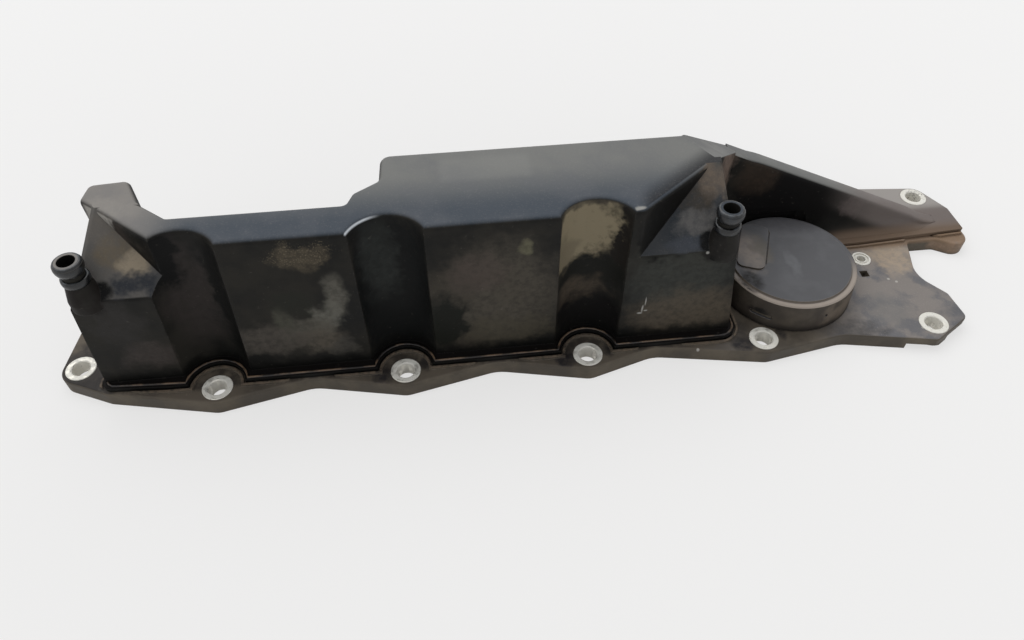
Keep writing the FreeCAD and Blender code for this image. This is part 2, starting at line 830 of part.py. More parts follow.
def baffle_plate():
    """Separator floor: inlet slots at the left, drains, and upright vanes across the flow."""
    z1 = flange_t + baffle_t
    middle = (front_wall_y + rear_wall_y) / 2.0
    vane_top = low_deck_z - wall - vane_clear
    body = prism(grown(hollow_foot(), -baffle_clear), flange_t, z1)
    for i in range(vane_count):
        x = x1 + bolt_pitch * (vane_start + vane_step * i)
        rear = rear_wall_y - wall - vane_gap - (i % 2) * vane_gap
        vane = block((x - vane_t / 2.0, rear - vane_l, z1 - 0.5), (x + vane_t / 2.0, rear, vane_top))
        body = body.fuse(vane)
    for i in range(slot_count):
        x = left_end + slot_inset + i * slot_pitch
        low = (x, middle - slot_l / 2.0, flange_t - 1.0)
        body = body.cut(block(low, (x + slot_w, middle + slot_l / 2.0, z1 + 1.0)))
    for x in (x1 + bolt_pitch * drain_dx, x4 - bolt_pitch * drain_dx):
        spot = (x, middle + drain_dy)
        body = body.fuse(disc(spot, drain_r, flange_t - drain_drop, flange_t + 0.5))
        body = body.cut(disc(spot, drain_bore_r, flange_t - drain_drop - 1.0, z1 + 1.0))
    return body.removeSplitter()


def cap_roof():
    return cap_top_z - cap_step - cap_wall


def cap_shell():
    """Drafted skirt, stepped rim and raised disc, hollow from below."""
    foot = flange_t + cap_foot_gap
    rim_z = cap_top_z - cap_step
    inner_r = cap_top_r - cap_rim_w
    outline = [(0.0, foot), (cap_foot_r, foot), (cap_top_r, rim_z - cap_edge), (cap_top_r - cap_edge, rim_z),
               (inner_r, rim_z), (inner_r - cap_edge, cap_top_z), (0.0, cap_top_z)]
    hollow = [(0.0, foot - 1.0), (cap_foot_r - cap_wall, foot - 1.0), (cap_foot_r - cap_wall, foot),
              (cap_top_r - cap_wall, cap_roof()), (0.0, cap_roof())]
    return turned(cap_point, outline).cut(turned(cap_point, hollow))


def valve_cap():
    """Clipped cap with a finger pad, a clamp ring for the diaphragm and the valve's upper stop."""
    stop_z = plate_bottom() + plate_t + film_t + button_h + run_gap
    body = cap_shell()
    body = body.fuse(ring(cap_point, pot_r, pot_r - pot_wall, pot_z + bead_h, cap_roof() + 0.5))
    body = body.fuse(ring(cap_point, stop_r, stop_bore_r, stop_z, cap_roof() + 0.5))
    body = body.fuse(finger_pad())
    body = body.cut(pad_groove())
    for angle in snap_angles:
        body = body.cut(snap_window(angle))
    body = body.cut(vent())
    return body.removeSplitter()


def pad_face(grow):
    """Rounded rectangle of the finger pad, grown evenly and turned with the pad."""
    dx = pad_w / 2.0 - pad_r
    dy = pad_l / 2.0 - pad_r
    r = pad_r + grow
    face = belt_face([(-dx, -dy, r), (dx, -dy, r), (dx, dy, r), (-dx, dy, r)])
    return placed_as_pad(face)


def placed_as_pad(body):
    body.rotate(vec(0, 0, 0), vec(0, 0, 1), pad_turn)
    body.translate(vec(cap_point[0] + pad_dx, cap_point[1] + pad_dy))
    return body


def finger_pad():
    pad = prism(pad_face(0.0), cap_roof() + 0.5, cap_top_z + pad_proud)
    return pad.common(disc(cap_point, cap_top_r - cap_rim_w / 2.0, 0.0, top_z))


def pad_groove():
    """Narrow groove along the pad's right and rear sides."""
    z0 = cap_top_z - pad_groove_depth
    z1 = cap_top_z + pad_proud + 1.0
    groove = prism(pad_face(pad_groove_w), z0, z1).cut(prism(pad_face(0.0), z0 - 1.0, z1 + 1.0))
    keep = placed_as_pad(block((-pad_w / 4.0, -pad_l / 3.0, z0 - 1.0), (pad_w, pad_l, z1 + 1.0)))
    return groove.common(keep)


def snap_window(angle):
    """Slot through the skirt for a snap hook of the pot."""
    slot = block((cap_top_r - 2.0 * cap_wall, -snap_w / 2.0, snap_z),
                 (cap_foot_r + 1.0, snap_w / 2.0, snap_z + snap_h))
    return turned_about_cap(slot, angle)


def vent():
    """Small breather hole through the skirt, above the diaphragm's clamp."""
    start = vec(cap_top_r - 2.0 * cap_wall, 0.0, vent_z)
    hole = Part.makeCylinder(vent_r, 3.0 * cap_wall, start, vec(1, 0, 0))
    return turned_about_cap(hole, vent_angle)


def diaphragm():
    """Rubber diaphragm: a clamped bead, one rolling fold and a flat centre."""
    z = pot_z + bead_h / 2.0
    t = film_t / 2.0
    bead_in = pot_r - pot_wall
    low = z - fold_depth
    fold_a = (fold_in_r + fold_out_r - fold_flat) / 2.0
    fold_b = fold_a + fold_flat
    hole_r = button_r + press_gap
    profile = [(hole_r, z - t), (fold_in_r, z - t), (fold_a, low - t), (fold_b, low - t),
               (fold_out_r, z - t), (bead_in, z - t), (bead_in, pot_z), (pot_r, pot_z),
               (pot_r, pot_z + bead_h), (bead_in, pot_z + bead_h), (bead_in, z + t), (fold_out_r, z + t),
               (fold_b, low + t), (fold_a, low + t), (fold_in_r, z + t), (hole_r, z + t)]
    return turned(cap_point, profile)


def valve_plate():
    """Stiff disc under the diaphragm, with the button that holds the rubber."""
    z0 = plate_bottom()
    z1 = z0 + plate_t
    top = z1 + film_t
    profile = [(0.0, z0), (plate_r, z0), (plate_r, z1), (button_r, z1), (button_r, top),
               (button_r + button_lip, top), (button_r, top + button_h), (0.0, top + button_h)]
    return turned(cap_point, profile)


def half_turn(start, end, side):
    """Half ring of wire from one point to another, setting off to the side given."""
    middle = (start + end) * 0.5
    face = Part.Face(Part.Wire(Part.makeCircle(wire_r, start, side)))
    return face.revolve(middle, (start - middle).cross(side), 180)


def valve_spring():
    """Coil spring round the outlet seat, from the pot's floor to the plate."""
    z0 = flange_t + wire_r
    pitch = (plate_bottom() - wire_r - run_gap - z0) / spring_half_turns
    halves = []
    for i in range(spring_half_turns):
        way = -1.0 if i % 2 else 1.0
        start = vec(way * spring_r, 0, i * pitch)
        end = vec(-way * spring_r, 0, (i + 1) * pitch)
        halves.append(half_turn(start, end, vec(0, way, 0)))
    coil = halves[0].fuse(halves[1:]).removeSplitter()
    coil.translate(vec(cap_point[0], cap_point[1], z0))
    return coil


def export(name, shape):
    if shape.ShapeType == "Compound" and len(shape.Solids) == 1:
        shape = shape.Solids[0]
    box = shape.BoundBox
    print(name, shape.isValid(), "solids", len(shape.Solids), "volume %.0f" % shape.Volume)
    print("  low %.1f %.1f %.1f" % (box.XMin, box.YMin, box.ZMin),
          "high %.1f %.1f %.1f" % (box.XMax, box.YMax, box.ZMax))
    shape.exportStep("parts/%s.step" % name)


def main():
    os.makedirs("parts", exist_ok=True)
    export("base_cover", base_cover())
    export("separator_housing", separator_housing())
    export("baffle_plate", baffle_plate())
    export("gasket", gasket())
    for i, point in enumerate(front_points):
        export("bolt_sleeve_f%d" % i, sleeve(point, flange_t))
    for i, point in enumerate(rear_points):
        export("bolt_sleeve_r%d" % i, sleeve(point, flange_t + lip_t))
    export("locating_bush", locating_bush())
    export("valve_cap", valve_cap())
    export("diaphragm", diaphragm())
    export("valve_plate", valve_plate())
    export("valve_spring", valve_spring())


main()
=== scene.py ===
import math

import bpy
from mathutils import Matrix, Vector


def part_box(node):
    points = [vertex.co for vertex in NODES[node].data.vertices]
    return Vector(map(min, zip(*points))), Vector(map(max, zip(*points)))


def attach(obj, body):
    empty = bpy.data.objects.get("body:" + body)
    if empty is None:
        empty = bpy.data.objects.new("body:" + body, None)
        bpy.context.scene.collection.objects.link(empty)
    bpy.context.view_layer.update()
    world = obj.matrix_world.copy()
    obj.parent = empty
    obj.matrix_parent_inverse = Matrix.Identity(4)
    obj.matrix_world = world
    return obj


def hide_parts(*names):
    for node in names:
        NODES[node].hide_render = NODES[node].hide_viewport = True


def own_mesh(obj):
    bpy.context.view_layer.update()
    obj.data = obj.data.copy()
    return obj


bl_info = {
    "name": "Engine Valve Cover",
    "version": (1, 0, 0),
    "blender": (4, 5, 0),
    "location": "View3D > Sidebar > Valve Cover",
    "description": "Dresses a used moulded valve cover: oily nylon, road dust, corroded sleeves "
                   "and a soft studio stage",
    "category": "Object",
}

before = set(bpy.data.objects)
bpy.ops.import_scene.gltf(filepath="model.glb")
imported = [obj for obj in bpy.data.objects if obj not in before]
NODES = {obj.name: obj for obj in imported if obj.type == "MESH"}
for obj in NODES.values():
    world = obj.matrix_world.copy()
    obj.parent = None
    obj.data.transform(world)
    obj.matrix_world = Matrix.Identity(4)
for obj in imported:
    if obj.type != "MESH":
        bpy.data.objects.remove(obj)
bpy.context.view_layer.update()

MM = 0.001

# Places of the part that the added pieces follow, in millimetres of its own frame
BOLT_X = (-182.0, -91.0, 0.0)
LIP_TOP_Z = 10.5
CAP_CENTRE = (113.6, 37.6)
CAP_CLEAR_R = 36.8
LEFT_STUB = (-223.1, 11.0, 87.2)
RIGHT_STUB = (60.6, 11.0, 88.0)

# The ridge falls straight from its top to its end, both given as (x, z), and then runs out
RIDGE_START_X = 84.0
RIDGE_TOP = (86.5, 69.0)
RIDGE_END = (200.0, 17.0)
RIDGE_RUNOUT = 19.0
RIDGE_FRONT_Y = 71.0
RIDGE_REAR_Y = 80.0
FOOT_BY_CAP_Z = 33.0

# The groove in front of the ridge starts here and drifts to the rear along x
GROOVE_Y = 60.6
GROOVE_DRIFT = 4.2 / 145.0
GROOVE_GAP = 1.0

# Weld flash: its line's place in y between the bolts, its radius round a bolt, and the bead's own
FLASH_Y = 2.5
FLASH_BOLT_R = 14.9
FLASH_R = 0.62

# Hose stubs: closed (radius, height) profiles of the bead and of the stop ring below it
STUB_HEAD = ((3.95, -0.9), (4.5, -0.15), (5.1, 0.1), (5.7, -0.25), (6.2, -1.2), (6.35, -2.4),
             (6.2, -3.7), (5.8, -4.9), (5.2, -5.7), (4.7, -6.1), (4.6, -3.0), (3.95, -2.2))
STUB_COLLAR = ((4.6, -8.3), (5.5, -8.2), (6.0, -8.8), (6.15, -9.8), (6.05, -10.9), (5.7, -11.8),
               (4.9, -12.3), (4.7, -10.0))

# Valve spring: its wire, its turns and the share of the wire in each flat end
SPRING_WIRE_R = 0.6
SPRING_TURNS = 5.0
SPRING_END = 0.12

# A stain's edge wanders by the second number where its smallest half size is above the first
FRAYS = ((5.5, 18.0), (1.0, 8.0), (0.0, 1.2))

# The photograph's viewpoint in metres, and its tilt, yaw and roll in degrees
VIEW_PLACE = (-0.065027, -0.240575, 0.312822)
VIEW_TURN = (48.54, 6.35, -0.175)

# Floor: its brightness to the eye, and a hair's gap below the part, in metres
FLOOR_GLOW = 0.64
FLOOR_Z = -0.0004


# Colour and node helpers

def linear(code):
    """Linear colour of an sRGB hex code such as 7c7c7c."""
    channels = []
    for i in (0, 2, 4):
        c = int(code[i:i + 2], 16) / 255.0
        channels.append(c / 12.92 if c <= 0.04045 else ((c + 0.055) / 1.055) ** 2.4)
    return (*channels, 1.0)


def add(tree, kind, inputs=None, **settings):
    """Adds a node, sets its settings, then fills or links its inputs. Returns the node."""
    node = tree.nodes.new(kind)
    for name, value in settings.items():
        setattr(node, name, value)
    for key, value in (inputs or {}).items():
        if isinstance(value, bpy.types.NodeSocket):
            tree.links.new(value, node.inputs[key])
        else:
            node.inputs[key].default_value = value
    return node


def start_material(name):
    """New material with an empty node tree."""
    material = bpy.data.materials.new(name)
    material.use_nodes = True
    tree = material.node_tree
    tree.nodes.clear()
    return material, tree


def seen_directly(tree):
    """1 on rays that show the room to the camera, also in a reflection, and 0 on all others."""
    path = add(tree, "ShaderNodeLightPath")
    seen = path.outputs["Is Camera Ray"]
    for kind in ("Is Glossy Ray", "Is Transmission Ray"):
        seen = add(tree, "ShaderNodeMath", {0: seen, 1: path.outputs[kind]},
                   operation="MAXIMUM").outputs[0]
    return seen


class Surface:
    """Shared coordinates of one material, in millimetres of the part's own frame."""

    def __init__(self, tree, edge_mm=0.8):
        self.tree = tree
        coords = add(tree, "ShaderNodeTexCoord")
        scaled = add(tree, "ShaderNodeVectorMath", {0: coords.outputs["Object"], 1: (1.0 / MM,) * 3},
                     operation="MULTIPLY")
        self.mm = scaled.outputs[0]
        self.x, self.y, self.z = add(tree, "ShaderNodeSeparateXYZ", {0: self.mm}).outputs
        facing = add(tree, "ShaderNodeNewGeometry").outputs["Normal"]
        self.up = add(tree, "ShaderNodeSeparateXYZ", {0: facing}).outputs["Z"]

        # Moulded edges are rounded: the soft normal shows it, and its turn finds the edges, which are
        # painted paler, partly as wear and partly as a painted highlight
        self.soft = add(tree, "ShaderNodeBevel", {"Radius": edge_mm * MM}, samples=6).outputs[0]
        turn = add(tree, "ShaderNodeVectorMath", {0: self.soft, 1: facing}, operation="DOT_PRODUCT")
        self.edge = self.mask((turn.outputs["Value"], 0.99, 0.86))

        drift = add(tree, "ShaderNodeTexNoise", self.cloudy(9.0, detail=3.0)).outputs["Color"]
        centred = add(tree, "ShaderNodeVectorMath", {0: drift, 1: (0.5,) * 3}, operation="SUBTRACT")
        self.frayed = [(least, *self.shifted(centred.outputs[0], wander)) for least, wander in FRAYS]

    def shifted(self, drift, most_mm):
        """A point's place moved a little by the drift, and its square: stains then end raggedly."""
        place = add(self.tree, "ShaderNodeVectorMath", {0: drift, 1: (most_mm,) * 3, 2: self.mm},
                    operation="MULTIPLY_ADD").outputs[0]
        square = add(self.tree, "ShaderNodeVectorMath", {0: place, 1: place},
                     operation="MULTIPLY").outputs[0]
        return place, square

    def cloudy(self, size_mm, detail=2.0, roughness=0.55):
        """Inputs of a noise whose features are about size_mm across."""
        return {"Vector": self.mm, "Scale": 1.0 / size_mm, "Detail": detail, "Roughness": roughness}

    def mask(self, *parts):
        """Product of masks, numbers and soft steps. A step is (value, low, high): it is 0 below low
        and 1 above high, or the other way round where low is the higher, and smooth between."""
        factors = []
        for part in parts:
            if isinstance(part, tuple):
                value, low, high = part
                start, end = (0.0, 1.0) if low < high else (1.0, 0.0)
                inputs = {0: value, 1: min(low, high), 2: max(low, high), 3: start, 4: end}
                part = add(self.tree, "ShaderNodeMapRange", inputs,
                           interpolation_type="SMOOTHSTEP").outputs[0]
            factors.append(part)
        result = factors[0]
        for factor in factors[1:]:
            result = add(self.tree, "ShaderNodeMath", {0: result, 1: factor},
                         operation="MULTIPLY").outputs[0]
        return result

    def lay(self, below, colour, *parts):
        """Lays a coat of colour over another where the mask of these parts is 1."""
        node = add(self.tree, "ShaderNodeMix", {0: self.mask(*parts), 6: below, 7: colour},
                   data_type="RGBA")
        return node.outputs[2]

    def patch(self, centre, reach, full=1.0):
        """Mask of one stain: centre and half sizes in millimetres, then how much it covers.
        The squared distance, counted in half sizes, is the sum of two dot products and a constant:
        the masks are then plain numbers, which keeps the shader small enough to run."""
        place, square = next(pair for least, *pair in self.frayed if min(reach) > least)
        lean = add(self.tree, "ShaderNodeVectorMath", operation="DOT_PRODUCT", inputs={
            0: place, 1: tuple(-2.0 * middle / half ** 2 for middle, half in zip(centre, reach))})
        bend = add(self.tree, "ShaderNodeVectorMath", operation="DOT_PRODUCT", inputs={
            0: square, 1: tuple(1.0 / half ** 2 for half in reach)})
        far = add(self.tree, "ShaderNodeMath",
                  {0: lean.outputs["Value"], 1: bend.outputs["Value"]}).outputs[0]
        rest = sum((middle / half) ** 2 for middle, half in zip(centre, reach))
        solid, faded = 0.12, 1.6
        inputs = {0: far, 1: solid - rest, 2: faded - rest, 3: full, 4: 0.0}
        return add(self.tree, "ShaderNodeMapRange", inputs, interpolation_type="SMOOTHSTEP").outputs[0]

    def past(self, direction, distance):
        """How far, in millimetres, a point lies past a plane across the direction."""
        along = add(self.tree, "ShaderNodeVectorMath", {0: self.mm, 1: direction},
                    operation="DOT_PRODUCT")
        return add(self.tree, "ShaderNodeMath", {0: along.outputs["Value"], 1: distance},
                   operation="SUBTRACT").outputs[0]

    def radius(self, cx, cy):
        """Distance from an upright axis, in millimetres."""
        around = add(self.tree, "ShaderNodeVectorMath", {0: self.mm, 1: (cx, cy, 0.0)},
                     operation="SUBTRACT").outputs[0]
        level = add(self.tree, "ShaderNodeVectorMath", {0: around, 1: (1.0, 1.0, 0.0)},
                    operation="MULTIPLY").outputs[0]
        return add(self.tree, "ShaderNodeVectorMath", {0: level}, operation="LENGTH").outputs["Value"]

    def stain(self, colour, zones, stains):
        """Lays listed patches of stain, painted shade and painted light: zone, centre, half sizes, hex
        colour and cover. A cover above 1 keeps the middle solid. All are thinner where a fine mottle says
        that dust lies thin."""
        mottle = add(self.tree, "ShaderNodeTexNoise", self.cloudy(3.2, detail=4.0, roughness=0.65))
        thin = add(self.tree, "ShaderNodeMapRange",
                   {0: mottle.outputs["Fac"], 1: 0.36, 2: 0.58, 3: 0.62, 4: 1.0}).outputs[0]
        thinned = {zone: self.mask(thin, mask) for zone, mask in zones.items()}
        for zone, centre, reach, tone, cover in stains:
            colour = self.lay(colour, linear(tone), self.patch(centre, reach, cover), thinned[zone])
        return colour

    def bump(self, *heights):
        """Stacks (height socket, depth in mm) on the soft edges into one normal."""
        normal = self.soft
        for height, depth in heights:
            inputs = {"Height": height, "Strength": 1.0, "Distance": depth * MM, "Normal": normal}
            normal = add(self.tree, "ShaderNodeBump", inputs).outputs[0]
        return normal

    def finish(self, sockets):
        """Ends the material in one shader with these inputs."""
        shader = add(self.tree, "ShaderNodeBsdfPrincipled", sockets)
        add(self.tree, "ShaderNodeOutputMaterial", {"Surface": shader.outputs[0]})


# Materials

def housing_nylon(nylon):
    """Black glass-filled nylon 6.6, injection moulded. It is satin and nearly black where oil
    has kept it clean, slate grey on top where dust has dulled it, with a painted bluish reflection
    towards the front edge, and tan where mud dried."""
    material, tree = start_material("glass_filled_nylon_moulded_oily")
    s = Surface(tree)
    cloud = add(tree, "ShaderNodeTexNoise", s.cloudy(26.0, detail=5.0)).outputs["Fac"]
    fine = add(tree, "ShaderNodeTexNoise", s.cloudy(2.4, detail=4.0, roughness=0.7)).outputs["Fac"]
    # The fibres' own grain, near 0.1 mm, is too fine to show, so it is drawn at 0.8 mm
    grit = add(tree, "ShaderNodeTexNoise", s.cloudy(0.8, detail=3.0, roughness=0.7)).outputs["Fac"]
    colour = s.lay(nylon, linear("282622"), (cloud, 0.35, 0.7))

    # Dust that settled on all that faces up, grey behind; towards the front edge it is painted bluish, a
    # painted reflection of the pale room
    roof = s.mask((s.up, 0.88, 0.98))
    top = s.lay(linear("3f454c"), linear("6e6e6b"), (s.y, 15.0, 46.0))
    top = s.lay(top, linear("7b7772"), (s.x, -170.0, -206.0))
    top = s.lay(top, linear("606164"), (cloud, 0.42, 0.7), 0.4)
    colour = s.lay(colour, top, (s.up, 0.5, 0.97))
    pale_patch = s.mask((s.x, -68.0, -64.0), (s.x, -23.0, -27.0), (s.y, 34.0, 39.0))
    colour = s.lay(colour, linear("84847f"), pale_patch, (s.y, 55.0, 50.0), roof, 0.2)
    hip_edge = s.mask((s.past((0.616, -0.788, 0.0), 4.14), -9.0, 1.5), roof, (s.x, 16.0, 26.0))
    colour = s.lay(colour, linear("222224"), hip_edge, (s.z, 85.0, 92.0), 0.85)

    # Dried mud and dust, kept to the wall, recess or shelf that each one lies on. Some patches, marked
    # below, are painted shade and painted light; the near-black patches in the recesses only darken them
    # towards black
    wall = s.mask((s.up, 0.7, 0.3))
    slope = s.mask((s.up, 0.95, 0.85), (s.up, 0.35, 0.5))
    zones = {
        "wall": s.mask(wall, (s.y, 8.6, 7.6)),
        "recess": s.mask(wall, (s.y, 7.2, 8.4)),
        "slope": slope,
        "side": wall,
        "roof": roof,
    }
    colour = s.stain(colour, zones, (
        ("wall", (-127.6, 7.0, 82.0), (13.0, 9.0, 6.5), "51493c", 0.8),
        ("wall", (-117.0, 7.0, 57.0), (5.5, 9.0, 13.0), "5b5850", 0.9),
        ("wall", (-123.0, 7.0, 44.0), (8.5, 9.0, 9.0), "605e56", 0.9),
        ("wall", (-131.0, 7.0, 38.0), (11.0, 9.0, 7.0), "524f47", 0.85),
        ("wall", (-129.0, 7.0, 29.0), (12.0, 9.0, 10.0), "514b42", 0.85),
        ("wall", (-119.0, 7.0, 22.0), (8.0, 9.0, 6.0), "413e39", 0.8),
        ("wall", (-143.0, 7.0, 40.0), (5.0, 9.0, 12.0), "49483f", 0.75),
        ("wall", (-151.0, 7.0, 31.0), (20.0, 9.0, 11.0), "48433d", 0.9),
        ("wall", (-137.0, 7.0, 55.0), (10.0, 9.0, 9.0), "23241f", 0.8),
        ("wall", (-43.0, 7.0, 50.0), (29.0, 9.0, 35.0), "47423a", 0.95),
        ("wall", (-66.0, 7.0, 54.0), (13.0, 9.0, 16.0), "3c3730", 0.85),
        ("wall", (-60.0, 7.0, 18.0), (14.0, 9.0, 7.0), "37322b", 0.8),
        ("wall", (-52.0, 7.0, 64.0), (14.0, 9.0, 13.0), "483f3a", 0.7),
        ("wall", (-40.0, 7.0, 24.0), (24.0, 9.0, 11.0), "423d32", 0.75),
        ("wall", (-31.5, 7.0, 78.0), (3.6, 9.0, 4.0), "625f4c", 0.8),
        ("wall", (-68.5, 7.0, 34.0), (9.5, 9.0, 19.0), "141511", 1.6),
        ("recess", (-6.0, 14.0, 77.0), (21.0, 14.0, 18.0), "7d735e", 1.5),
        ("recess", (-14.0, 10.5, 68.0), (8.0, 9.0, 12.0), "6e6553", 1.4),
        ("recess", (16.0, 11.0, 74.0), (6.5, 9.0, 20.0), "1a1714", 1.5),
        ("recess", (0.0, 16.0, 93.5), (22.0, 14.0, 2.6), "2c2926", 0.8),
        ("recess", (3.0, 16.0, 52.0), (19.0, 12.0, 9.0), "141411", 1.5),
        ("recess", (-5.0, 16.0, 38.0), (15.0, 12.0, 10.0), "423a31", 1.0),
        ("recess", (2.0, 15.0, 22.0), (21.0, 12.0, 14.0), "0d0c0c", 1.5),
        ("recess", (-91.0, 15.0, 50.0), (24.0, 14.0, 52.0), "101111", 1.5),
        ("recess", (-96.0, 16.0, 68.0), (9.0, 12.0, 24.0), "2c2e2c", 0.85),
        ("recess", (-184.0, 16.0, 58.0), (13.0, 12.0, 36.0), "302b29", 0.85),
        ("recess", (-167.0, 12.0, 50.0), (6.5, 9.0, 46.0), "0e0e0d", 1.5),
        ("wall", (-208.0, 7.0, 28.0), (14.0, 9.0, 10.0), "3e3835", 0.8),
        ("wall", (-216.0, 7.0, 52.0), (12.0, 9.0, 18.0), "302e2d", 0.7),
        ("wall", (42.0, 7.0, 52.0), (26.0, 9.0, 26.0), "373834", 0.85),
        ("wall", (50.0, 7.0, 26.0), (30.0, 9.0, 17.0), "50483d", 0.85),
        ("slope", (-211.0, 29.0, 88.0), (10.0, 8.0, 6.0), "5d5852", 0.8),
        ("slope", (-207.0, 22.0, 80.0), (10.0, 8.0, 7.0), "5f5648", 0.85),
        ("slope", (-200.5, 18.0, 76.5), (7.5, 5.5, 5.0), "857a69", 1.2),
        ("slope", (-201.0, 11.5, 69.5), (14.0, 6.0, 5.6), "2b2d31", 1.1),
        # Painted shadow beside the foot of the left hose stub, on its right
        ("slope", (-216.5, 10.0, 68.0), (5.0, 6.0, 5.0), "0e0e0e", 1.5),
        # Painted shade: the hollow wall under the left end of the top is painted near black
        ("side", (-190.0, 15.0, 79.0), (9.0, 10.0, 19.0), "0b0b0b", 1.6),
        ("side", (-203.0, 26.0, 86.0), (7.0, 8.0, 9.0), "38322e", 0.85),
        # Painted light: the upper part of the hollow wall under the left end of the top is painted pale
        # where light falls on it
        ("side", (-214.0, 35.0, 90.0), (9.0, 9.0, 13.0), "8f8b84", 1.5),
        ("side", (-223.0, 11.0, 68.0), (11.0, 10.0, 10.0), "1f1c1a", 1.4),
        ("roof", (-212.0, 33.0, 94.0), (15.0, 9.0, 9.0), "827e78", 0.8),
        # Painted shade: the hollow wall under the right end of the top is painted near black, in two
        # patches
        ("side", (36.0, 22.0, 82.0), (22.0, 20.0, 20.0), "0f0e0d", 1.6),
        ("side", (28.0, 12.5, 74.0), (9.0, 8.0, 17.0), "0c0c0b", 1.6),
        ("slope", (57.0, 30.0, 88.0), (10.0, 9.0, 8.0), "665b50", 0.95),
        ("slope", (50.0, 25.0, 82.0), (9.0, 8.0, 7.0), "403a33", 0.85),
        ("slope", (50.0, 18.0, 75.0), (14.0, 7.0, 6.0), "5c5a58", 0.95),
        ("slope", (46.0, 10.5, 68.5), (13.0, 4.0, 4.0), "41444a", 0.8),
        # Painted shadow beside the foot of the right hose stub, on its left, in two patches
        ("slope", (54.0, 11.5, 69.0), (5.5, 6.0, 5.0), "0e0e0f", 1.5),
        ("side", (55.5, 8.0, 69.0), (4.0, 8.0, 9.0), "0c0c0d", 1.5),
        ("side", (77.0, 60.0, 66.0), (8.0, 18.0, 34.0), "6f6056", 0.9),
        ("side", (60.6, 11.0, 68.0), (10.0, 9.0, 9.0), "211f1d", 1.3),
        # Painted shade: the ridge's front wall behind the cap is painted near black
        ("side", (122.0, 70.5, 40.0), (34.0, 9.0, 22.0), "0e0d0d", 1.6),
        ("side", (100.0, 70.5, 56.0), (13.0, 9.0, 13.0), "3a3028", 0.8),
        ("side", (161.0, 70.0, 29.0), (7.0, 9.0, 8.0), "4c4442", 1.0),
    ))
    speckle = s.mask((grit, 0.54, 0.7), s.patch((-127.6, 7.0, 84.0), (15.0, 9.0, 7.0)), wall)
    colour = s.lay(colour, linear("7d735f"), speckle, 0.6)

    # The foot of every wall is painted darker, near black, with a ragged upper edge
    ragged = add(tree, "ShaderNodeTexNoise", s.cloudy(7.0, detail=4.0)).outputs["Fac"]
    ragged_z = add(tree, "ShaderNodeMath", {0: ragged, 1: -14.0, 2: s.z},
                   operation="MULTIPLY_ADD").outputs[0]
    foot = s.mask((ragged_z, 12.0, 5.0), wall, (s.x, 98.0, 88.0))
    colour = s.lay(colour, linear("0d0d0c"), foot, 0.85)

    # The weld lip is black with oil in front and dull behind; the apron on the forked plate is
    # dusty, and rusty silt fills its groove
    low = s.mask((s.up, 0.5, 0.9), (s.z, 40.0, 20.0))
    apron = s.mask((s.up, 0.15, 0.9), (s.z, 34.0, 14.0), (s.x, 143.0, 166.0))
    oily = s.mask(low, (s.x, 130.0, 100.0), (s.y, 60.0, 40.0))
    colour = s.lay(colour, linear("100e0d"), oily)
    rear = s.mask(low, (s.x, 160.0, 120.0), (s.y, 40.0, 60.0))
    colour = s.lay(colour, linear("38342f"), rear)
    colour = s.lay(colour, linear("5c564f"), rear, (cloud, 0.42, 0.66), 0.7)
    colour = s.lay(colour, linear("544b45"), apron)
    colour = s.lay(colour, linear("938e89"), apron, (s.y, 78.0, 90.0))
    # Painted highlight: the upper part of the ridge's face, below its broad rounded crest, is painted
    # lighter where light falls
    below_crest = s.past((0.4545, 0.0, 0.8907), 97.7)
    crest = s.mask((below_crest, -7.0, -0.5), (s.x, 138.0, 178.0), (s.y, 66.0, 70.0))
    colour = s.lay(colour, linear("6e6662"), crest, (s.y, 86.0, 82.0), 0.9)
    rusty = s.mask((s.x, 138.0, 160.0), (s.y, 76.0, 64.0), (s.z, 16.0, 11.5))
    colour = s.lay(colour, linear("6b5a4b"), rusty, 0.85)

    # Scuffs: pale where the rims took knocks, partly a painted highlight along the edges; a painted
    # highlight along the middle recess's rim; and a few chalky scratches
    knocks_and_edge_highlight = s.mask(s.edge, (fine, 0.42, 0.66), (s.z, 20.0, 40.0), 0.3)
    colour = s.lay(colour, linear("5c5a57"), knocks_and_edge_highlight)
    # Painted highlight: a thin bright line along the top of the middle recess's rim
    rim = s.radius(BOLT_X[1], 0.0)
    bright = s.mask((rim, 16.9, 17.5), (rim, 18.7, 18.0), (s.z, 92.2, 93.2), (s.y, 6.0, 8.0))
    colour = s.lay(colour, linear("d4d8dc"), bright, (s.x, -92.0, -101.0), 0.9)
    for centre, reach in (
        ((27.6, 7.0, 36.0), (0.35, 2.0, 3.0)),
        ((26.6, 7.0, 31.0), (0.5, 2.0, 2.6)),
        ((25.6, 7.0, 28.0), (1.4, 2.0, 0.6)),
        ((28.4, 7.0, 29.5), (1.0, 2.0, 0.5)),
        ((53.0, 7.0, 65.3), (0.8, 2.0, 0.7)),
        ((18.5, 8.0, 93.8), (3.5, 2.0, 0.45)),
    ):
        colour = s.lay(colour, linear("9b9993"), s.patch(centre, reach, 0.8))

    # Speckle of dust, and a finer grain of it on the flats
    colour = s.lay(colour, linear("8a847a"), (fine, 0.62, 0.8), 0.2)
    powder = s.mask((grit, 0.52, 0.72), (s.up, 0.4, 0.9), (s.z, 12.0, 40.0), 0.1)
    colour = s.lay(colour, linear("9a9690"), powder)
    ripple = add(tree, "ShaderNodeTexNoise", s.cloudy(9.0, detail=3.0)).outputs["Fac"]
    rough = add(tree, "ShaderNodeMapRange", {0: cloud, 1: 0.3, 2: 0.7, 3: 0.40, 4: 0.66}).outputs[0]
    s.finish({"Base Color": colour, "Roughness": rough, "Specular IOR Level": 0.09,
              "Normal": s.bump((grit, 0.03), (fine, 0.05), (ripple, 0.14))})
    return material


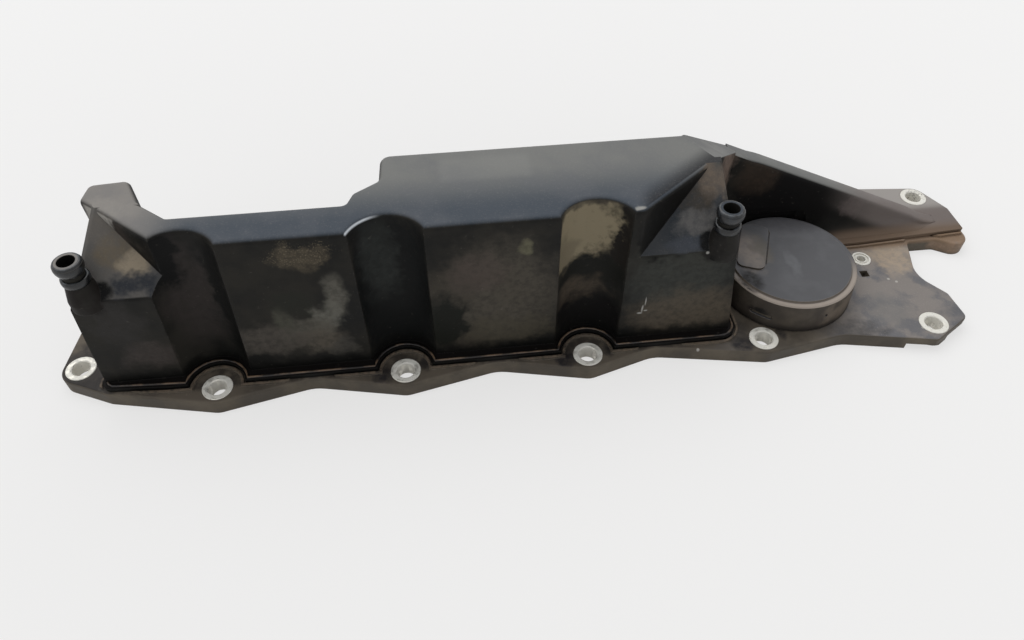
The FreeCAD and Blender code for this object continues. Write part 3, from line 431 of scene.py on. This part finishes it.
def base_nylon():
    """Black glass-filled nylon, injection moulded. The flange is oily brown-black in front and
    carries a thick dry coat of road dust on the open plate at the right."""
    material, tree = start_material("glass_filled_nylon_moulded_dusty")
    s = Surface(tree)
    cloud = add(tree, "ShaderNodeTexNoise", s.cloudy(20.0, detail=5.0)).outputs["Fac"]
    fine = add(tree, "ShaderNodeTexNoise", s.cloudy(2.2, detail=4.0, roughness=0.7)).outputs["Fac"]
    # The fibres' grain is drawn as coarse as on the housing
    grit = add(tree, "ShaderNodeTexNoise", s.cloudy(0.8, detail=3.0, roughness=0.7)).outputs["Fac"]
    colour = s.lay(linear("48423a"), linear("625a4e"), (cloud, 0.35, 0.7))
    flat = s.mask((s.up, 0.6, 0.95))
    colour = s.lay(colour, linear("5a5248"), flat, (cloud, 0.3, 0.65))
    plate = s.mask(flat, (s.x, 112.0, 150.0))
    colour = s.lay(colour, linear("7c7671"), plate)
    bluish = add(tree, "ShaderNodeTexNoise", s.cloudy(13.0, detail=4.0)).outputs["Fac"]
    colour = s.lay(colour, linear("5b5c60"), plate, (bluish, 0.46, 0.62), 0.75)
    zones = {"flat": flat, "any": 1.0}
    stains = [
        ("flat", (181.0, 50.0, 8.0), (14.0, 12.0, 6.0), "a3927d", 0.85),
        ("flat", (212.0, 28.0, 8.0), (14.0, 13.0, 6.0), "515257", 0.75),
        ("flat", (194.0, 34.0, 8.0), (7.0, 6.0, 6.0), "5c5b60", 0.7),
        ("flat", (163.0, 12.0, 8.0), (12.0, 12.0, 6.0), "6c6a68", 0.7),
        ("flat", (140.0, -1.0, 8.0), (16.0, 9.0, 6.0), "403e3e", 0.8),
        ("any", (222.0, 60.0, 8.0), (12.0, 9.0, 8.0), "88725f", 1.0),
        ("flat", (207.0, 4.0, 8.0), (17.0, 14.0, 6.0), "58585b", 0.9),
        ("flat", (-246.0, 16.0, 8.0), (20.0, 20.0, 6.0), "35312e", 1.5),
        ("flat", (71.0, -5.0, 8.0), (12.0, 7.0, 6.0), "5a5550", 0.8),
    ]
    for x in (-91.0, 0.0, 91.0):
        stains.append(("flat", (x - 11.0, -2.5, 8.0), (5.5, 6.0, 6.0), "16151a", 0.9))
        stains.append(("flat", (x + 10.5, 3.0, 8.0), (3.0, 5.0, 6.0), "1b1a1c", 0.8))
    colour = s.stain(colour, zones, stains)

    # Oil lies black along the housing's foot; the flash rib beside it is rubbed brown
    near = s.mask(flat, (s.y, -2.5, 1.5), (s.y, 20.0, 8.0), (s.x, 92.0, 78.0))
    smear = add(tree, "ShaderNodeTexNoise", s.cloudy(6.0, detail=3.0)).outputs["Fac"]
    colour = s.lay(colour, linear("1c1918"), near, (smear, 0.3, 0.6), 0.68)
    rib = s.mask((s.z, 8.7, 9.1), (s.z, 9.9, 9.5), (s.y, 64.0, 60.0), (s.x, 96.0, 84.0))
    colour = s.lay(colour, linear("6d5f50"), rib, (fine, 0.35, 0.6), 0.75)
    silt = s.mask((s.x, 138.0, 158.0), (s.y, 55.0, 59.5), (s.y, 68.0, 64.0), (s.z, 5.0, 7.5))
    colour = s.lay(colour, linear("78634f"), silt, 0.85)

    # A few chalky specks, paler edges that are partly wear and partly a painted highlight, and a speckle
    # of dust
    for speck in ((56.0, -3.0, 7.5), (175.0, -2.5, 7.5), (172.5, 33.5, 8.0), (176.0, 31.0, 8.0),
                  (169.0, -3.0, 6.0)):
        colour = s.lay(colour, linear("b3afa7"), s.patch(speck, (0.8, 0.8, 1.4), 0.75))
    wear_and_edge_highlight = s.mask(s.edge, (fine, 0.38, 0.6), (s.z, 8.3, 8.0), 0.3)
    colour = s.lay(colour, linear("8d8376"), wear_and_edge_highlight)
    colour = s.lay(colour, linear("9c958a"), (fine, 0.62, 0.8), 0.22)
    colour = s.lay(colour, linear("a8a29a"), (grit, 0.56, 0.72), plate, 0.3)
    ripple = add(tree, "ShaderNodeTexNoise", s.cloudy(8.0, detail=3.0)).outputs["Fac"]
    rough = add(tree, "ShaderNodeMapRange", {0: cloud, 1: 0.3, 2: 0.7, 3: 0.46, 4: 0.74}).outputs[0]
    s.finish({"Base Color": colour, "Roughness": rough, "Specular IOR Level": 0.2,
              "Normal": s.bump((grit, 0.03), (fine, 0.06), (ripple, 0.14))})
    return material


def cap_nylon():
    """Black nylon, injection moulded and sparked to a fine matt. Handling has left the
    finger pad paler and dust lies in the dip beside the pad; the front of the rim is painted pale as a
    highlight."""
    material, tree = start_material("nylon_moulded_fine_matt")
    s = Surface(tree, edge_mm=0.6)
    cloud = add(tree, "ShaderNodeTexNoise", s.cloudy(16.0, detail=5.0)).outputs["Fac"]
    fine = add(tree, "ShaderNodeTexNoise", s.cloudy(1.6, detail=4.0, roughness=0.7)).outputs["Fac"]
    # The sparked grain, near 0.1 mm, is too fine to show, so it is drawn at 0.9 mm
    grain = add(tree, "ShaderNodeTexNoise", s.cloudy(0.9, detail=2.0)).outputs["Fac"]
    colour = s.lay(linear("37312b"), linear("4d463d"), (cloud, 0.35, 0.7))
    flat = s.mask((s.up, 0.6, 0.95))
    colour = s.lay(colour, linear("525254"), flat)
    colour = s.lay(colour, linear("606062"), flat, (cloud, 0.45, 0.7), 0.6)
    radius = s.radius(*CAP_CENTRE)
    # Painted highlight: the front of the rim is painted pale where it catches the light
    rim = s.mask((radius, 30.6, 32.4), (s.up, 0.2, 0.7), (s.y, 40.0, 18.0), (s.z, 20.0, 23.0))
    colour = s.lay(colour, linear("9a8f84"), rim, 0.9)
    colour = s.stain(colour, {"flat": flat, "skirt": s.mask((s.up, 0.6, 0.3))}, (
        ("flat", (88.0, 24.0, 26.0), (7.0, 8.0, 4.0), "1c1b1b", 0.95),
        ("flat", (94.0, 44.0, 27.2), (8.5, 15.0, 3.0), "7a726b", 0.95),
        ("flat", (101.0, 45.0, 27.2), (4.5, 11.0, 3.0), "5a5650", 0.85),
        ("flat", (95.0, 47.0, 27.2), (3.0, 4.0, 3.0), "59544e", 0.6),
        ("flat", (114.0, 34.0, 26.0), (3.2, 9.0, 3.0), "6b6c6e", 0.5),
        ("flat", (128.0, 64.0, 26.0), (22.0, 8.0, 3.0), "48474a", 0.6),
        ("skirt", (133.0, 10.0, 17.0), (14.0, 12.0, 8.0), "6a5f53", 0.8),
        # Painted shade in the clip slot at the front of the skirt
        ("skirt", (91.0, 12.0, 16.0), (7.0, 6.0, 2.6), "0d0b0a", 0.95),
    ))
    # Painted shade: the cap is painted darker at its foot, where it meets the base
    colour = s.lay(colour, linear("171412"), (s.z, 13.0, 8.6), 0.8)
    # Paler edges: partly wear, partly a painted highlight
    colour = s.lay(colour, linear("9a9084"), s.edge, (fine, 0.35, 0.6), 0.4)
    colour = s.lay(colour, linear("8b867c"), (fine, 0.64, 0.8), 0.25)
    ripple = add(tree, "ShaderNodeTexNoise", s.cloudy(7.0)).outputs["Fac"]
    rough = add(tree, "ShaderNodeMapRange", {0: cloud, 1: 0.3, 2: 0.7, 3: 0.55, 4: 0.75}).outputs[0]
    s.finish({"Base Color": colour, "Roughness": rough, "Specular IOR Level": 0.22,
              "Normal": s.bump((grain, 0.03), (ripple, 0.1))})
    return material


def sleeve_steel():
    """Zinc-plated turned steel. White zinc oxide has bloomed over the face, and the bore
    keeps a greyer sheen. The bloom is soft, with a few dark pits where the plating went."""
    material, tree = start_material("steel_turned_zinc_plated")
    s = Surface(tree, edge_mm=0.4)
    bloom = add(tree, "ShaderNodeTexNoise", s.cloudy(3.0, detail=4.0)).outputs["Fac"]
    pits = add(tree, "ShaderNodeTexNoise", s.cloudy(1.1, detail=3.0)).outputs["Fac"]
    facing_up = s.mask((s.up, 0.4, 0.8))
    colour = s.lay(linear("dad7ce"), linear("d6d3c9"), facing_up, (bloom, 0.2, 0.5))
    colour = s.lay(colour, linear("dedbd2"), facing_up, (bloom, 0.48, 0.66), 0.7)
    colour = s.lay(colour, linear("6a645a"), (pits, 0.62, 0.72), 0.45)
    right_end = s.mask(s.patch((222.0, 100.0, 9.0), (9.0, 9.0, 8.0)), (pits, 0.5, 0.64))
    colour = s.lay(colour, linear("4b4742"), right_end, 0.8)
    metallic = s.mask((bloom, 0.5, 0.36), 0.6)
    rough = add(tree, "ShaderNodeMapRange", {0: bloom, 1: 0.3, 2: 0.7, 3: 0.38, 4: 0.6}).outputs[0]
    s.finish({"Base Color": colour, "Roughness": rough, "Metallic": metallic,
              "Normal": s.bump((bloom, 0.05), (pits, 0.03))})
    return material


def stub_nylon():
    """Black nylon, injection moulded and wiped by the hose: darker and glossier than the housing."""
    material, tree = start_material("nylon_moulded_hose_polished")
    s = Surface(tree, edge_mm=0.4)
    wear = add(tree, "ShaderNodeTexNoise", s.cloudy(3.0, detail=4.0)).outputs["Fac"]
    colour = s.lay(linear("0d0e10"), linear("24272b"), (wear, 0.45, 0.7))
    # Painted sheen: faces that look up are painted lighter grey
    sheen = s.mask((s.up, 0.5, 0.95), (wear, 0.4, 0.62), 0.45)
    colour = s.lay(colour, linear("565b60"), sheen)
    rough = add(tree, "ShaderNodeMapRange", {0: wear, 1: 0.3, 2: 0.7, 3: 0.22, 4: 0.5}).outputs[0]
    s.finish({"Base Color": colour, "Roughness": rough, "Specular IOR Level": 0.5,
              "Normal": s.bump((wear, 0.06))})
    return material


def weld_flash_nylon():
    """Nylon squeezed out by vibration welding: black, rubbed to copper brown on its crest; the brown lies
    on the upward faces and is partly a painted highlight.
    """
    material, tree = start_material("nylon_weld_flash")
    s = Surface(tree, edge_mm=0.3)
    rub = add(tree, "ShaderNodeTexNoise", s.cloudy(9.0, detail=4.0)).outputs["Fac"]
    lumps = add(tree, "ShaderNodeTexNoise", s.cloudy(1.5, detail=3.0)).outputs["Fac"]
    # The copper brown on the upward faces is partly rubbed nylon and partly a painted highlight
    crest = s.mask((s.up, 0.3, 0.9), (rub, 0.4, 0.62))
    colour = s.lay(linear("181412"), linear("75604c"), crest, 0.8)
    s.finish({"Base Color": colour, "Roughness": 0.36, "Specular IOR Level": 0.45,
              "Normal": s.bump((lumps, 0.12))})
    return material


def moulded_rubber(name, tone):
    """Acrylate or fluorosilicone rubber, compression moulded: dull, dark and slightly bloomed."""
    material, tree = start_material(name)
    s = Surface(tree)
    bloom = add(tree, "ShaderNodeTexNoise", s.cloudy(6.0, detail=3.0)).outputs["Fac"]
    # The mould's grain, near 0.1 mm, is too fine to show, so it is drawn at 1.2 mm
    grain = add(tree, "ShaderNodeTexNoise", s.cloudy(1.2)).outputs["Fac"]
    colour = s.lay(linear(tone), linear("2b2b2b"), (bloom, 0.45, 0.75))
    s.finish({"Base Color": colour, "Roughness": 0.7, "Specular IOR Level": 0.3,
              "Normal": s.bump((grain, 0.03))})
    return material


def inner_nylon(name, tone, deep):
    """Nylon moulding inside the cover, wet with an uneven film of oil."""
    material, tree = start_material(name)
    s = Surface(tree)
    film = add(tree, "ShaderNodeTexNoise", s.cloudy(12.0, detail=4.0)).outputs["Fac"]
    ripple = add(tree, "ShaderNodeTexNoise", s.cloudy(2.0)).outputs["Fac"]
    colour = s.lay(linear(tone), linear(deep), (film, 0.4, 0.7))
    rough = add(tree, "ShaderNodeMapRange", {0: film, 1: 0.3, 2: 0.7, 3: 0.3, 4: 0.5}).outputs[0]
    s.finish({"Base Color": colour, "Roughness": rough, "Normal": s.bump((ripple, 0.02))})
    return material


def spring_wire():
    """Stainless spring wire, drawn: bright and faintly mottled."""
    material, tree = start_material("stainless_wire_drawn")
    s = Surface(tree, edge_mm=0.1)
    # Drawing marks, near 0.05 mm, are too fine to show, so they are drawn at 0.8 mm
    streak = add(tree, "ShaderNodeTexNoise", s.cloudy(0.8, detail=2.0)).outputs["Fac"]
    rough = add(tree, "ShaderNodeMapRange", {0: streak, 1: 0.3, 2: 0.7, 3: 0.22, 4: 0.38}).outputs[0]
    s.finish({"Base Color": linear("b4b2ad"), "Roughness": rough, "Metallic": 1.0,
              "Normal": s.bump((streak, 0.01))})
    return material


def dress(names, material):
    """Gives CAD nodes their finished material."""
    for name in names:
        slots = NODES[name].data.materials
        slots.clear()
        slots.append(material)


# Added pieces

def place_mesh(name, points, faces, material):
    """Smooth mesh piece that rides on the cover, from points in metres."""
    mesh = bpy.data.meshes.new(name)
    mesh.from_pydata(points, [], faces)
    mesh.polygons.foreach_set("use_smooth", [True] * len(mesh.polygons))
    mesh.materials.append(material)
    piece = bpy.data.objects.new(name, mesh)
    bpy.context.scene.collection.objects.link(piece)
    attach(piece, "cover")
    return piece


def skin(name, rings, material):
    """Closed piece through rings of points in millimetres, smooth except where it turns sharply."""
    points = [tuple(MM * c for c in point) for ring in rings for point in ring]
    count = len(rings[0])
    faces = []
    for i in range(len(rings) - 1):
        for j in range(count):
            k = (j + 1) % count
            faces.append((i * count + j, i * count + k, (i + 1) * count + k, (i + 1) * count + j))
    faces.append(tuple(reversed(range(count))))
    faces.append(tuple(range((len(rings) - 1) * count, len(rings) * count)))
    piece = place_mesh(name, points, faces, material)
    piece.data.set_sharp_from_angle(angle=math.radians(50.0))
    return piece


def share(value, low, high):
    """How far a value has come from low to high, from 0 to 1."""
    return min(max((value - low) / (high - low), 0.0), 1.0)


def ease(value, low, high):
    """The same share, with a soft start and end."""
    t = share(value, low, high)
    return t * t * (3.0 - 2.0 * t)


def ridge_stations():
    """Places of the ridge's sections along x, closer together at its start and its tip."""
    start = [81.8, 82.6, 84.0]
    beside_cap = [88.0 + 3.5 * i for i in range(13)] + [132.2, 133.5]
    fall = [136.0 + 3.2 * i for i in range(20)]
    tip = [199.0, 201.5, 204.0, 207.0, 210.5, 214.0, 217.5]
    return start + beside_cap + fall + tip


def ridge_ring(x):
    """Section of the ridge at x: a hollow front flank, a rounded crest and a plain back."""
    end_x, end_z = RIDGE_END
    fall = (RIDGE_TOP[1] - end_z) / (end_x - RIDGE_TOP[0])
    if x <= end_x:
        # It starts sunk in the housing's top, and then stands a little proud of the solid
        rise = 1.6 * share(x, RIDGE_START_X, RIDGE_START_X + 16.0)
        crest = end_z + fall * (end_x - x) - 0.5 + rise
    else:
        run = min((x - end_x) / RIDGE_RUNOUT, 1.0)
        crest = LIP_TOP_Z + (end_z + 1.1 - LIP_TOP_Z) * (1.0 - run) ** 1.6 - 0.1 * run
    height = crest - LIP_TOP_Z

    # The foot keeps clear of the cap, flares out to the groove beyond it and narrows to the tip
    reach = CAP_CLEAR_R ** 2 - (x - CAP_CENTRE[0]) ** 2
    beside_cap = CAP_CENTRE[1] + math.sqrt(max(reach, 0.0)) if reach > 0.0 else 0.0
    groove = GROOVE_Y + GROOVE_DRIFT * (x - RIDGE_START_X) + GROOVE_GAP
    flank_y = RIDGE_FRONT_Y - 0.5
    foot_y = flank_y + (min(max(groove, beside_cap), flank_y) - flank_y) * ease(x, 130.0, 150.0)
    tip = share(x, 203.0, 217.5) ** 2
    foot_y += (72.0 - foot_y) * tip
    foot_z = FOOT_BY_CAP_Z + (LIP_TOP_Z - 0.12 - FOOT_BY_CAP_Z) * ease(x, 130.5, 140.5)

    # Shoulders of the crest shrink where the ridge is low
    shoulder = min(1.0, height / 3.0)
    top_y = RIDGE_FRONT_Y - 0.35 + 1.6 * tip
    rear_y = RIDGE_REAR_Y - 2.5 * tip - 1.2 * share(x, 96.0, RIDGE_START_X)
    top_z = max(crest - 2.4 * shoulder, foot_z)
    ring = []
    for step in range(13):
        a = 0.5 * math.pi * step / 12
        ring.append((x, foot_y + (top_y - foot_y) * math.sin(a),
                     foot_z + (top_z - foot_z) * (1.0 - math.cos(a))))
    ring += [(x, top_y + 0.12, crest - 1.25 * shoulder), (x, top_y + 0.6, crest - 0.45 * shoulder),
             (x, top_y + 1.7, crest - 0.05), (x, top_y + 4.9, crest),
             (x, rear_y - 0.8, crest - 0.05), (x, rear_y + 0.2, crest - 0.5 * shoulder),
             (x, rear_y + 0.6, crest - 1.4 * shoulder)]
    ring += [(x, rear_y + 0.7, LIP_TOP_Z + (height - 2.6 * shoulder) * 0.5),
             (x, rear_y + 0.8, LIP_TOP_Z + 0.02), (x, top_y + 4.0, LIP_TOP_Z - 0.3)]
    return ring


def coil_rings(low, high):
    """Wire of the valve spring, between two corners in metres: a helix whose end turns lie flat."""
    mean_r = (high[0] - low[0]) / (2.0 * MM) - SPRING_WIRE_R
    foot, top = low[2] / MM + SPRING_WIRE_R, high[2] / MM - SPRING_WIRE_R
    steps, sides = 200, 12
    rings = []
    for i in range(steps + 1):
        t = i / steps
        climb = share(t, SPRING_END, 1.0 - SPRING_END)
        turn = 2.0 * math.pi * SPRING_TURNS * t
        out = (math.cos(turn), math.sin(turn))
        ring = []
        for k in range(sides):
            a = 2.0 * math.pi * k / sides
            reach = mean_r + SPRING_WIRE_R * math.cos(a)
            ring.append((CAP_CENTRE[0] + reach * out[0], CAP_CENTRE[1] + reach * out[1],
                         foot + (top - foot) * climb + SPRING_WIRE_R * math.sin(a)))
        rings.append(ring)
    return rings


def lip_path():
    """Line of the weld flash along the front of the housing's foot, round each bolt."""
    path = [(-234.9, 11.0), (-234.6, 8.0), (-233.4, 5.8), (-231.2, 4.4)]
    half = math.degrees(math.asin(FLASH_Y / FLASH_BOLT_R))
    for bolt_x in BOLT_X:
        for step in range(25):
            a = math.radians(180.0 - half - (180.0 - 2.0 * half) * step / 24)
            path.append((bolt_x + FLASH_BOLT_R * math.cos(a), FLASH_BOLT_R * math.sin(a)))
    corner_x, corner_y, corner_r = 68.8, 10.2, 7.7
    for step in range(9):
        a = math.radians(-90.0 + 90.0 * step / 8)
        path.append((corner_x + corner_r * math.cos(a), corner_y + corner_r * math.sin(a)))
    path.append((76.5, 26.0))
    return path


def tube_rings(path, radius, z, sides=8):
    """Rings of a round bead that follows a level path, swelling and thinning as flash does."""
    rings = []
    for i, (x, y) in enumerate(path):
        before, after = path[max(i - 1, 0)], path[min(i + 1, len(path) - 1)]
        ahead = Vector((after[0] - before[0], after[1] - before[1])).normalized()
        swell = radius * (0.25 if i in (0, len(path) - 1) else 1.0 + 0.18 * math.sin(2.3 * i))
        ring = []
        for k in range(sides):
            a = 2.0 * math.pi * k / sides
            ring.append((x - ahead.y * swell * math.cos(a), y + ahead.x * swell * math.cos(a),
                         z + swell * math.sin(a)))
        rings.append(ring)
    return rings


def turned(name, place, profile, material, sides=48):
    """Turned ring about an upright axis, from a closed (radius, height) profile."""
    cx, cy, cz = place
    points, faces = [], []
    count = len(profile)
    for i in range(sides):
        a = 2.0 * math.pi * i / sides
        for r, h in profile:
            points.append((MM * (cx + r * math.cos(a)), MM * (cy + r * math.sin(a)), MM * (cz + h)))
    for i in range(sides):
        for j in range(count):
            k = (j + 1) % count
            n = (i + 1) % sides
            faces.append((i * count + j, n * count + j, n * count + k, i * count + k))
    return place_mesh(name, points, faces, material)


# Properties

class CoverLook(bpy.types.PropertyGroup):
    nylon: bpy.props.FloatVectorProperty(
        name="Nylon Colour", description="Colour of the clean black nylon", subtype="COLOR", size=4,
        min=0.0, max=1.0, default=linear("151514"))
    floor: bpy.props.FloatVectorProperty(
        name="Floor Colour", description="Colour of the pale studio floor", subtype="COLOR", size=4,
        min=0.0, max=1.0, default=linear("ededec"))
    lens_mm: bpy.props.FloatProperty(
        name="Lens", description="Focal length of the view, for a sensor 36 mm wide", default=27.42,
        min=5.0, subtype="DISTANCE_CAMERA")
    room_level: bpy.props.FloatProperty(
        name="Room Light", description="Strength of the even light from all round", default=0.72, min=0.0)
    key_watts: bpy.props.FloatProperty(
        name="Overhead Light", description="Power of the soft lamp above and behind the part",
        default=24.0, min=0.0, subtype="POWER")


# Operators

class VALVECOVER_OT_housing(bpy.types.Operator):
    """Finish the separator housing in oily black nylon and round its ridge and hose stubs"""
    bl_idname = "valvecover.housing"
    bl_label = "Separator Housing"

    def execute(self, context):
        nylon = housing_nylon(tuple(context.scene.cover_look.nylon))
        dress(["separator_housing"], nylon)
        skin("ridge_crest", [ridge_ring(x) for x in ridge_stations()], nylon)

        polished = stub_nylon()
        for side, place in (("left", LEFT_STUB), ("right", RIGHT_STUB)):
            turned("stub_head_" + side, place, STUB_HEAD, polished)
            turned("stub_collar_" + side, place, STUB_COLLAR, polished)
        return {"FINISHED"}


class VALVECOVER_OT_weld(bpy.types.Operator):
    """Lay the line of weld flash along the housing's foot"""
    bl_idname = "valvecover.weld"
    bl_label = "Weld Flash"

    def execute(self, context):
        bead = tube_rings(lip_path(), FLASH_R, LIP_TOP_Z + 0.1)
        skin("weld_flash", bead, weld_flash_nylon())
        return {"FINISHED"}


class VALVECOVER_OT_base(bpy.types.Operator):
    """Finish the base with its flange and forked plate in dusty black nylon"""
    bl_idname = "valvecover.base"
    bl_label = "Base"

    def execute(self, context):
        dress(["base_cover"], base_nylon())
        return {"FINISHED"}


class VALVECOVER_OT_cap(bpy.types.Operator):
    """Finish the round valve cap"""
    bl_idname = "valvecover.cap"
    bl_label = "Valve Cap"

    def execute(self, context):
        dress(["valve_cap"], cap_nylon())
        return {"FINISHED"}


class VALVECOVER_OT_sleeves(bpy.types.Operator):
    """Finish the bolt sleeves and the locating bush in corroded plated steel"""
    bl_idname = "valvecover.sleeves"
    bl_label = "Sleeves and Bush"

    def execute(self, context):
        names = [name for name in NODES if name.startswith("bolt_sleeve")]
        dress(names + ["locating_bush"], sleeve_steel())
        return {"FINISHED"}


class VALVECOVER_OT_inside(bpy.types.Operator):
    """Finish the seal, the baffle and the pressure valve"""
    bl_idname = "valvecover.inside"
    bl_label = "Inner Pieces"

    def execute(self, context):
        dress(["gasket"], moulded_rubber("acrylate_rubber_moulded", "1c1c1c"))
        dress(["diaphragm"], moulded_rubber("fluorosilicone_rubber_moulded", "2c3340"))
        dress(["baffle_plate"], inner_nylon("nylon_moulded_oil_wet", "1b1a18", "12110f"))
        dress(["valve_plate"], inner_nylon("natural_nylon_moulded", "b9b29c", "9a8f74"))
        low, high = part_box("valve_spring")
        coil = skin("valve_coil", coil_rings(low, high), spring_wire())
        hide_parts("valve_spring")
        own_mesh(coil)
        return {"FINISHED"}


class VALVECOVER_OT_stage(bpy.types.Operator):
    """Set the pale floor, the soft light and the view"""
    bl_idname = "valvecover.stage"
    bl_label = "Stage"

    def execute(self, context):
        scene = context.scene
        look = scene.cover_look
        scene.view_settings.view_transform = "Standard"

        # The floor looks pale to the camera and in reflections, and lights the part as a mid grey
        bpy.ops.mesh.primitive_circle_add(vertices=96, radius=8.0, fill_type="NGON",
                                          location=(0.0, 0.0, FLOOR_Z))
        floor = context.active_object
        floor.name = "stage_floor"
        material, tree = start_material("painted_board_matt")
        seen = seen_directly(tree)
        shade = add(tree, "ShaderNodeMix", {0: seen, 6: tuple(look.floor), 7: linear("949493")},
                    data_type="RGBA").outputs[2]
        diffuse = add(tree, "ShaderNodeBsdfDiffuse", {"Color": shade, "Roughness": 1.0})
        glow = add(tree, "ShaderNodeMath", {0: seen, 1: FLOOR_GLOW}, operation="MULTIPLY").outputs[0]
        pale = add(tree, "ShaderNodeEmission", {"Color": linear("fbfaf9"), "Strength": glow})
        both = add(tree, "ShaderNodeAddShader", {0: diffuse.outputs[0], 1: pale.outputs[0]})
        add(tree, "ShaderNodeOutputMaterial", {"Surface": both.outputs[0]})
        floor.data.materials.append(material)

        world = bpy.data.worlds.new("studio")
        scene.world = world
        world.use_nodes = True
        tree = world.node_tree
        tree.nodes.clear()
        seen = seen_directly(tree)
        lit = add(tree, "ShaderNodeBackground", {0: linear("f4f6fa"), 1: look.room_level})
        shown = add(tree, "ShaderNodeBackground", {0: linear("eeeeee"), 1: 1.0})
        mix = add(tree, "ShaderNodeMixShader", {0: seen, 1: lit.outputs[0], 2: shown.outputs[0]})
        add(tree, "ShaderNodeOutputWorld", {"Surface": mix.outputs[0]})

        lamp = bpy.data.lights.new("overhead_soft_box", "AREA")
        lamp.shape = "RECTANGLE"
        lamp.size = 2.4
        lamp.size_y = 1.6
        lamp.energy = look.key_watts
        softbox = bpy.data.objects.new("overhead_soft_box", lamp)
        scene.collection.objects.link(softbox)
        softbox.location = (-0.35, 0.75, 1.7)
        softbox.rotation_mode = "QUATERNION"
        softbox.rotation_quaternion = (Vector((0.0, 0.0, 0.0)) - softbox.location).to_track_quat("-Z", "Y")

        camera_data = bpy.data.cameras.new("view")
        camera_data.sensor_width = 36.0
        camera_data.lens = look.lens_mm
        camera_data.clip_start = 0.01
        camera = bpy.data.objects.new("view", camera_data)
        scene.collection.objects.link(camera)
        tilt, yaw, roll = (math.radians(angle) for angle in VIEW_TURN)
        ahead = Vector((math.cos(tilt) * math.sin(yaw), math.cos(tilt) * math.cos(yaw), -math.sin(tilt)))
        side = Vector((math.cos(yaw), -math.sin(yaw), 0.0))
        above = side.cross(ahead)
        right = math.cos(roll) * side + math.sin(roll) * above
        up = -math.sin(roll) * side + math.cos(roll) * above
        turn = Matrix((right, up, -ahead)).transposed().to_4x4()
        camera.matrix_world = Matrix.Translation(VIEW_PLACE) @ turn
        scene.camera = camera
        return {"FINISHED"}


class VALVECOVER_PT_panel(bpy.types.Panel):
    """Steps that dress the valve cover"""
    bl_idname = "VALVECOVER_PT_panel"
    bl_label = "Valve Cover"
    bl_space_type = "VIEW_3D"
    bl_region_type = "UI"
    bl_category = "Valve Cover"

    def draw(self, context):
        look = context.scene.cover_look
        for name in ("nylon", "floor", "lens_mm", "room_level", "key_watts"):
            self.layout.prop(look, name)
        for step in STEPS:
            self.layout.operator(step.bl_idname)


STEPS = (
    VALVECOVER_OT_stage,
    VALVECOVER_OT_housing,
    VALVECOVER_OT_weld,
    VALVECOVER_OT_base,
    VALVECOVER_OT_cap,
    VALVECOVER_OT_sleeves,
    VALVECOVER_OT_inside,
)


def register():
    bpy.utils.register_class(CoverLook)
    for step in STEPS:
        bpy.utils.register_class(step)
    bpy.utils.register_class(VALVECOVER_PT_panel)
    bpy.types.Scene.cover_look = bpy.props.PointerProperty(type=CoverLook)


def unregister():
    del bpy.types.Scene.cover_look
    bpy.utils.unregister_class(VALVECOVER_PT_panel)
    for step in reversed(STEPS):
        bpy.utils.unregister_class(step)
    bpy.utils.unregister_class(CoverLook)


def main():
    register()
    bpy.ops.valvecover.stage()
    bpy.ops.valvecover.housing()
    bpy.ops.valvecover.weld()
    bpy.ops.valvecover.base()
    bpy.ops.valvecover.cap()
    bpy.ops.valvecover.sleeves()
    bpy.ops.valvecover.inside()


if __name__ == "__main__":
    main()
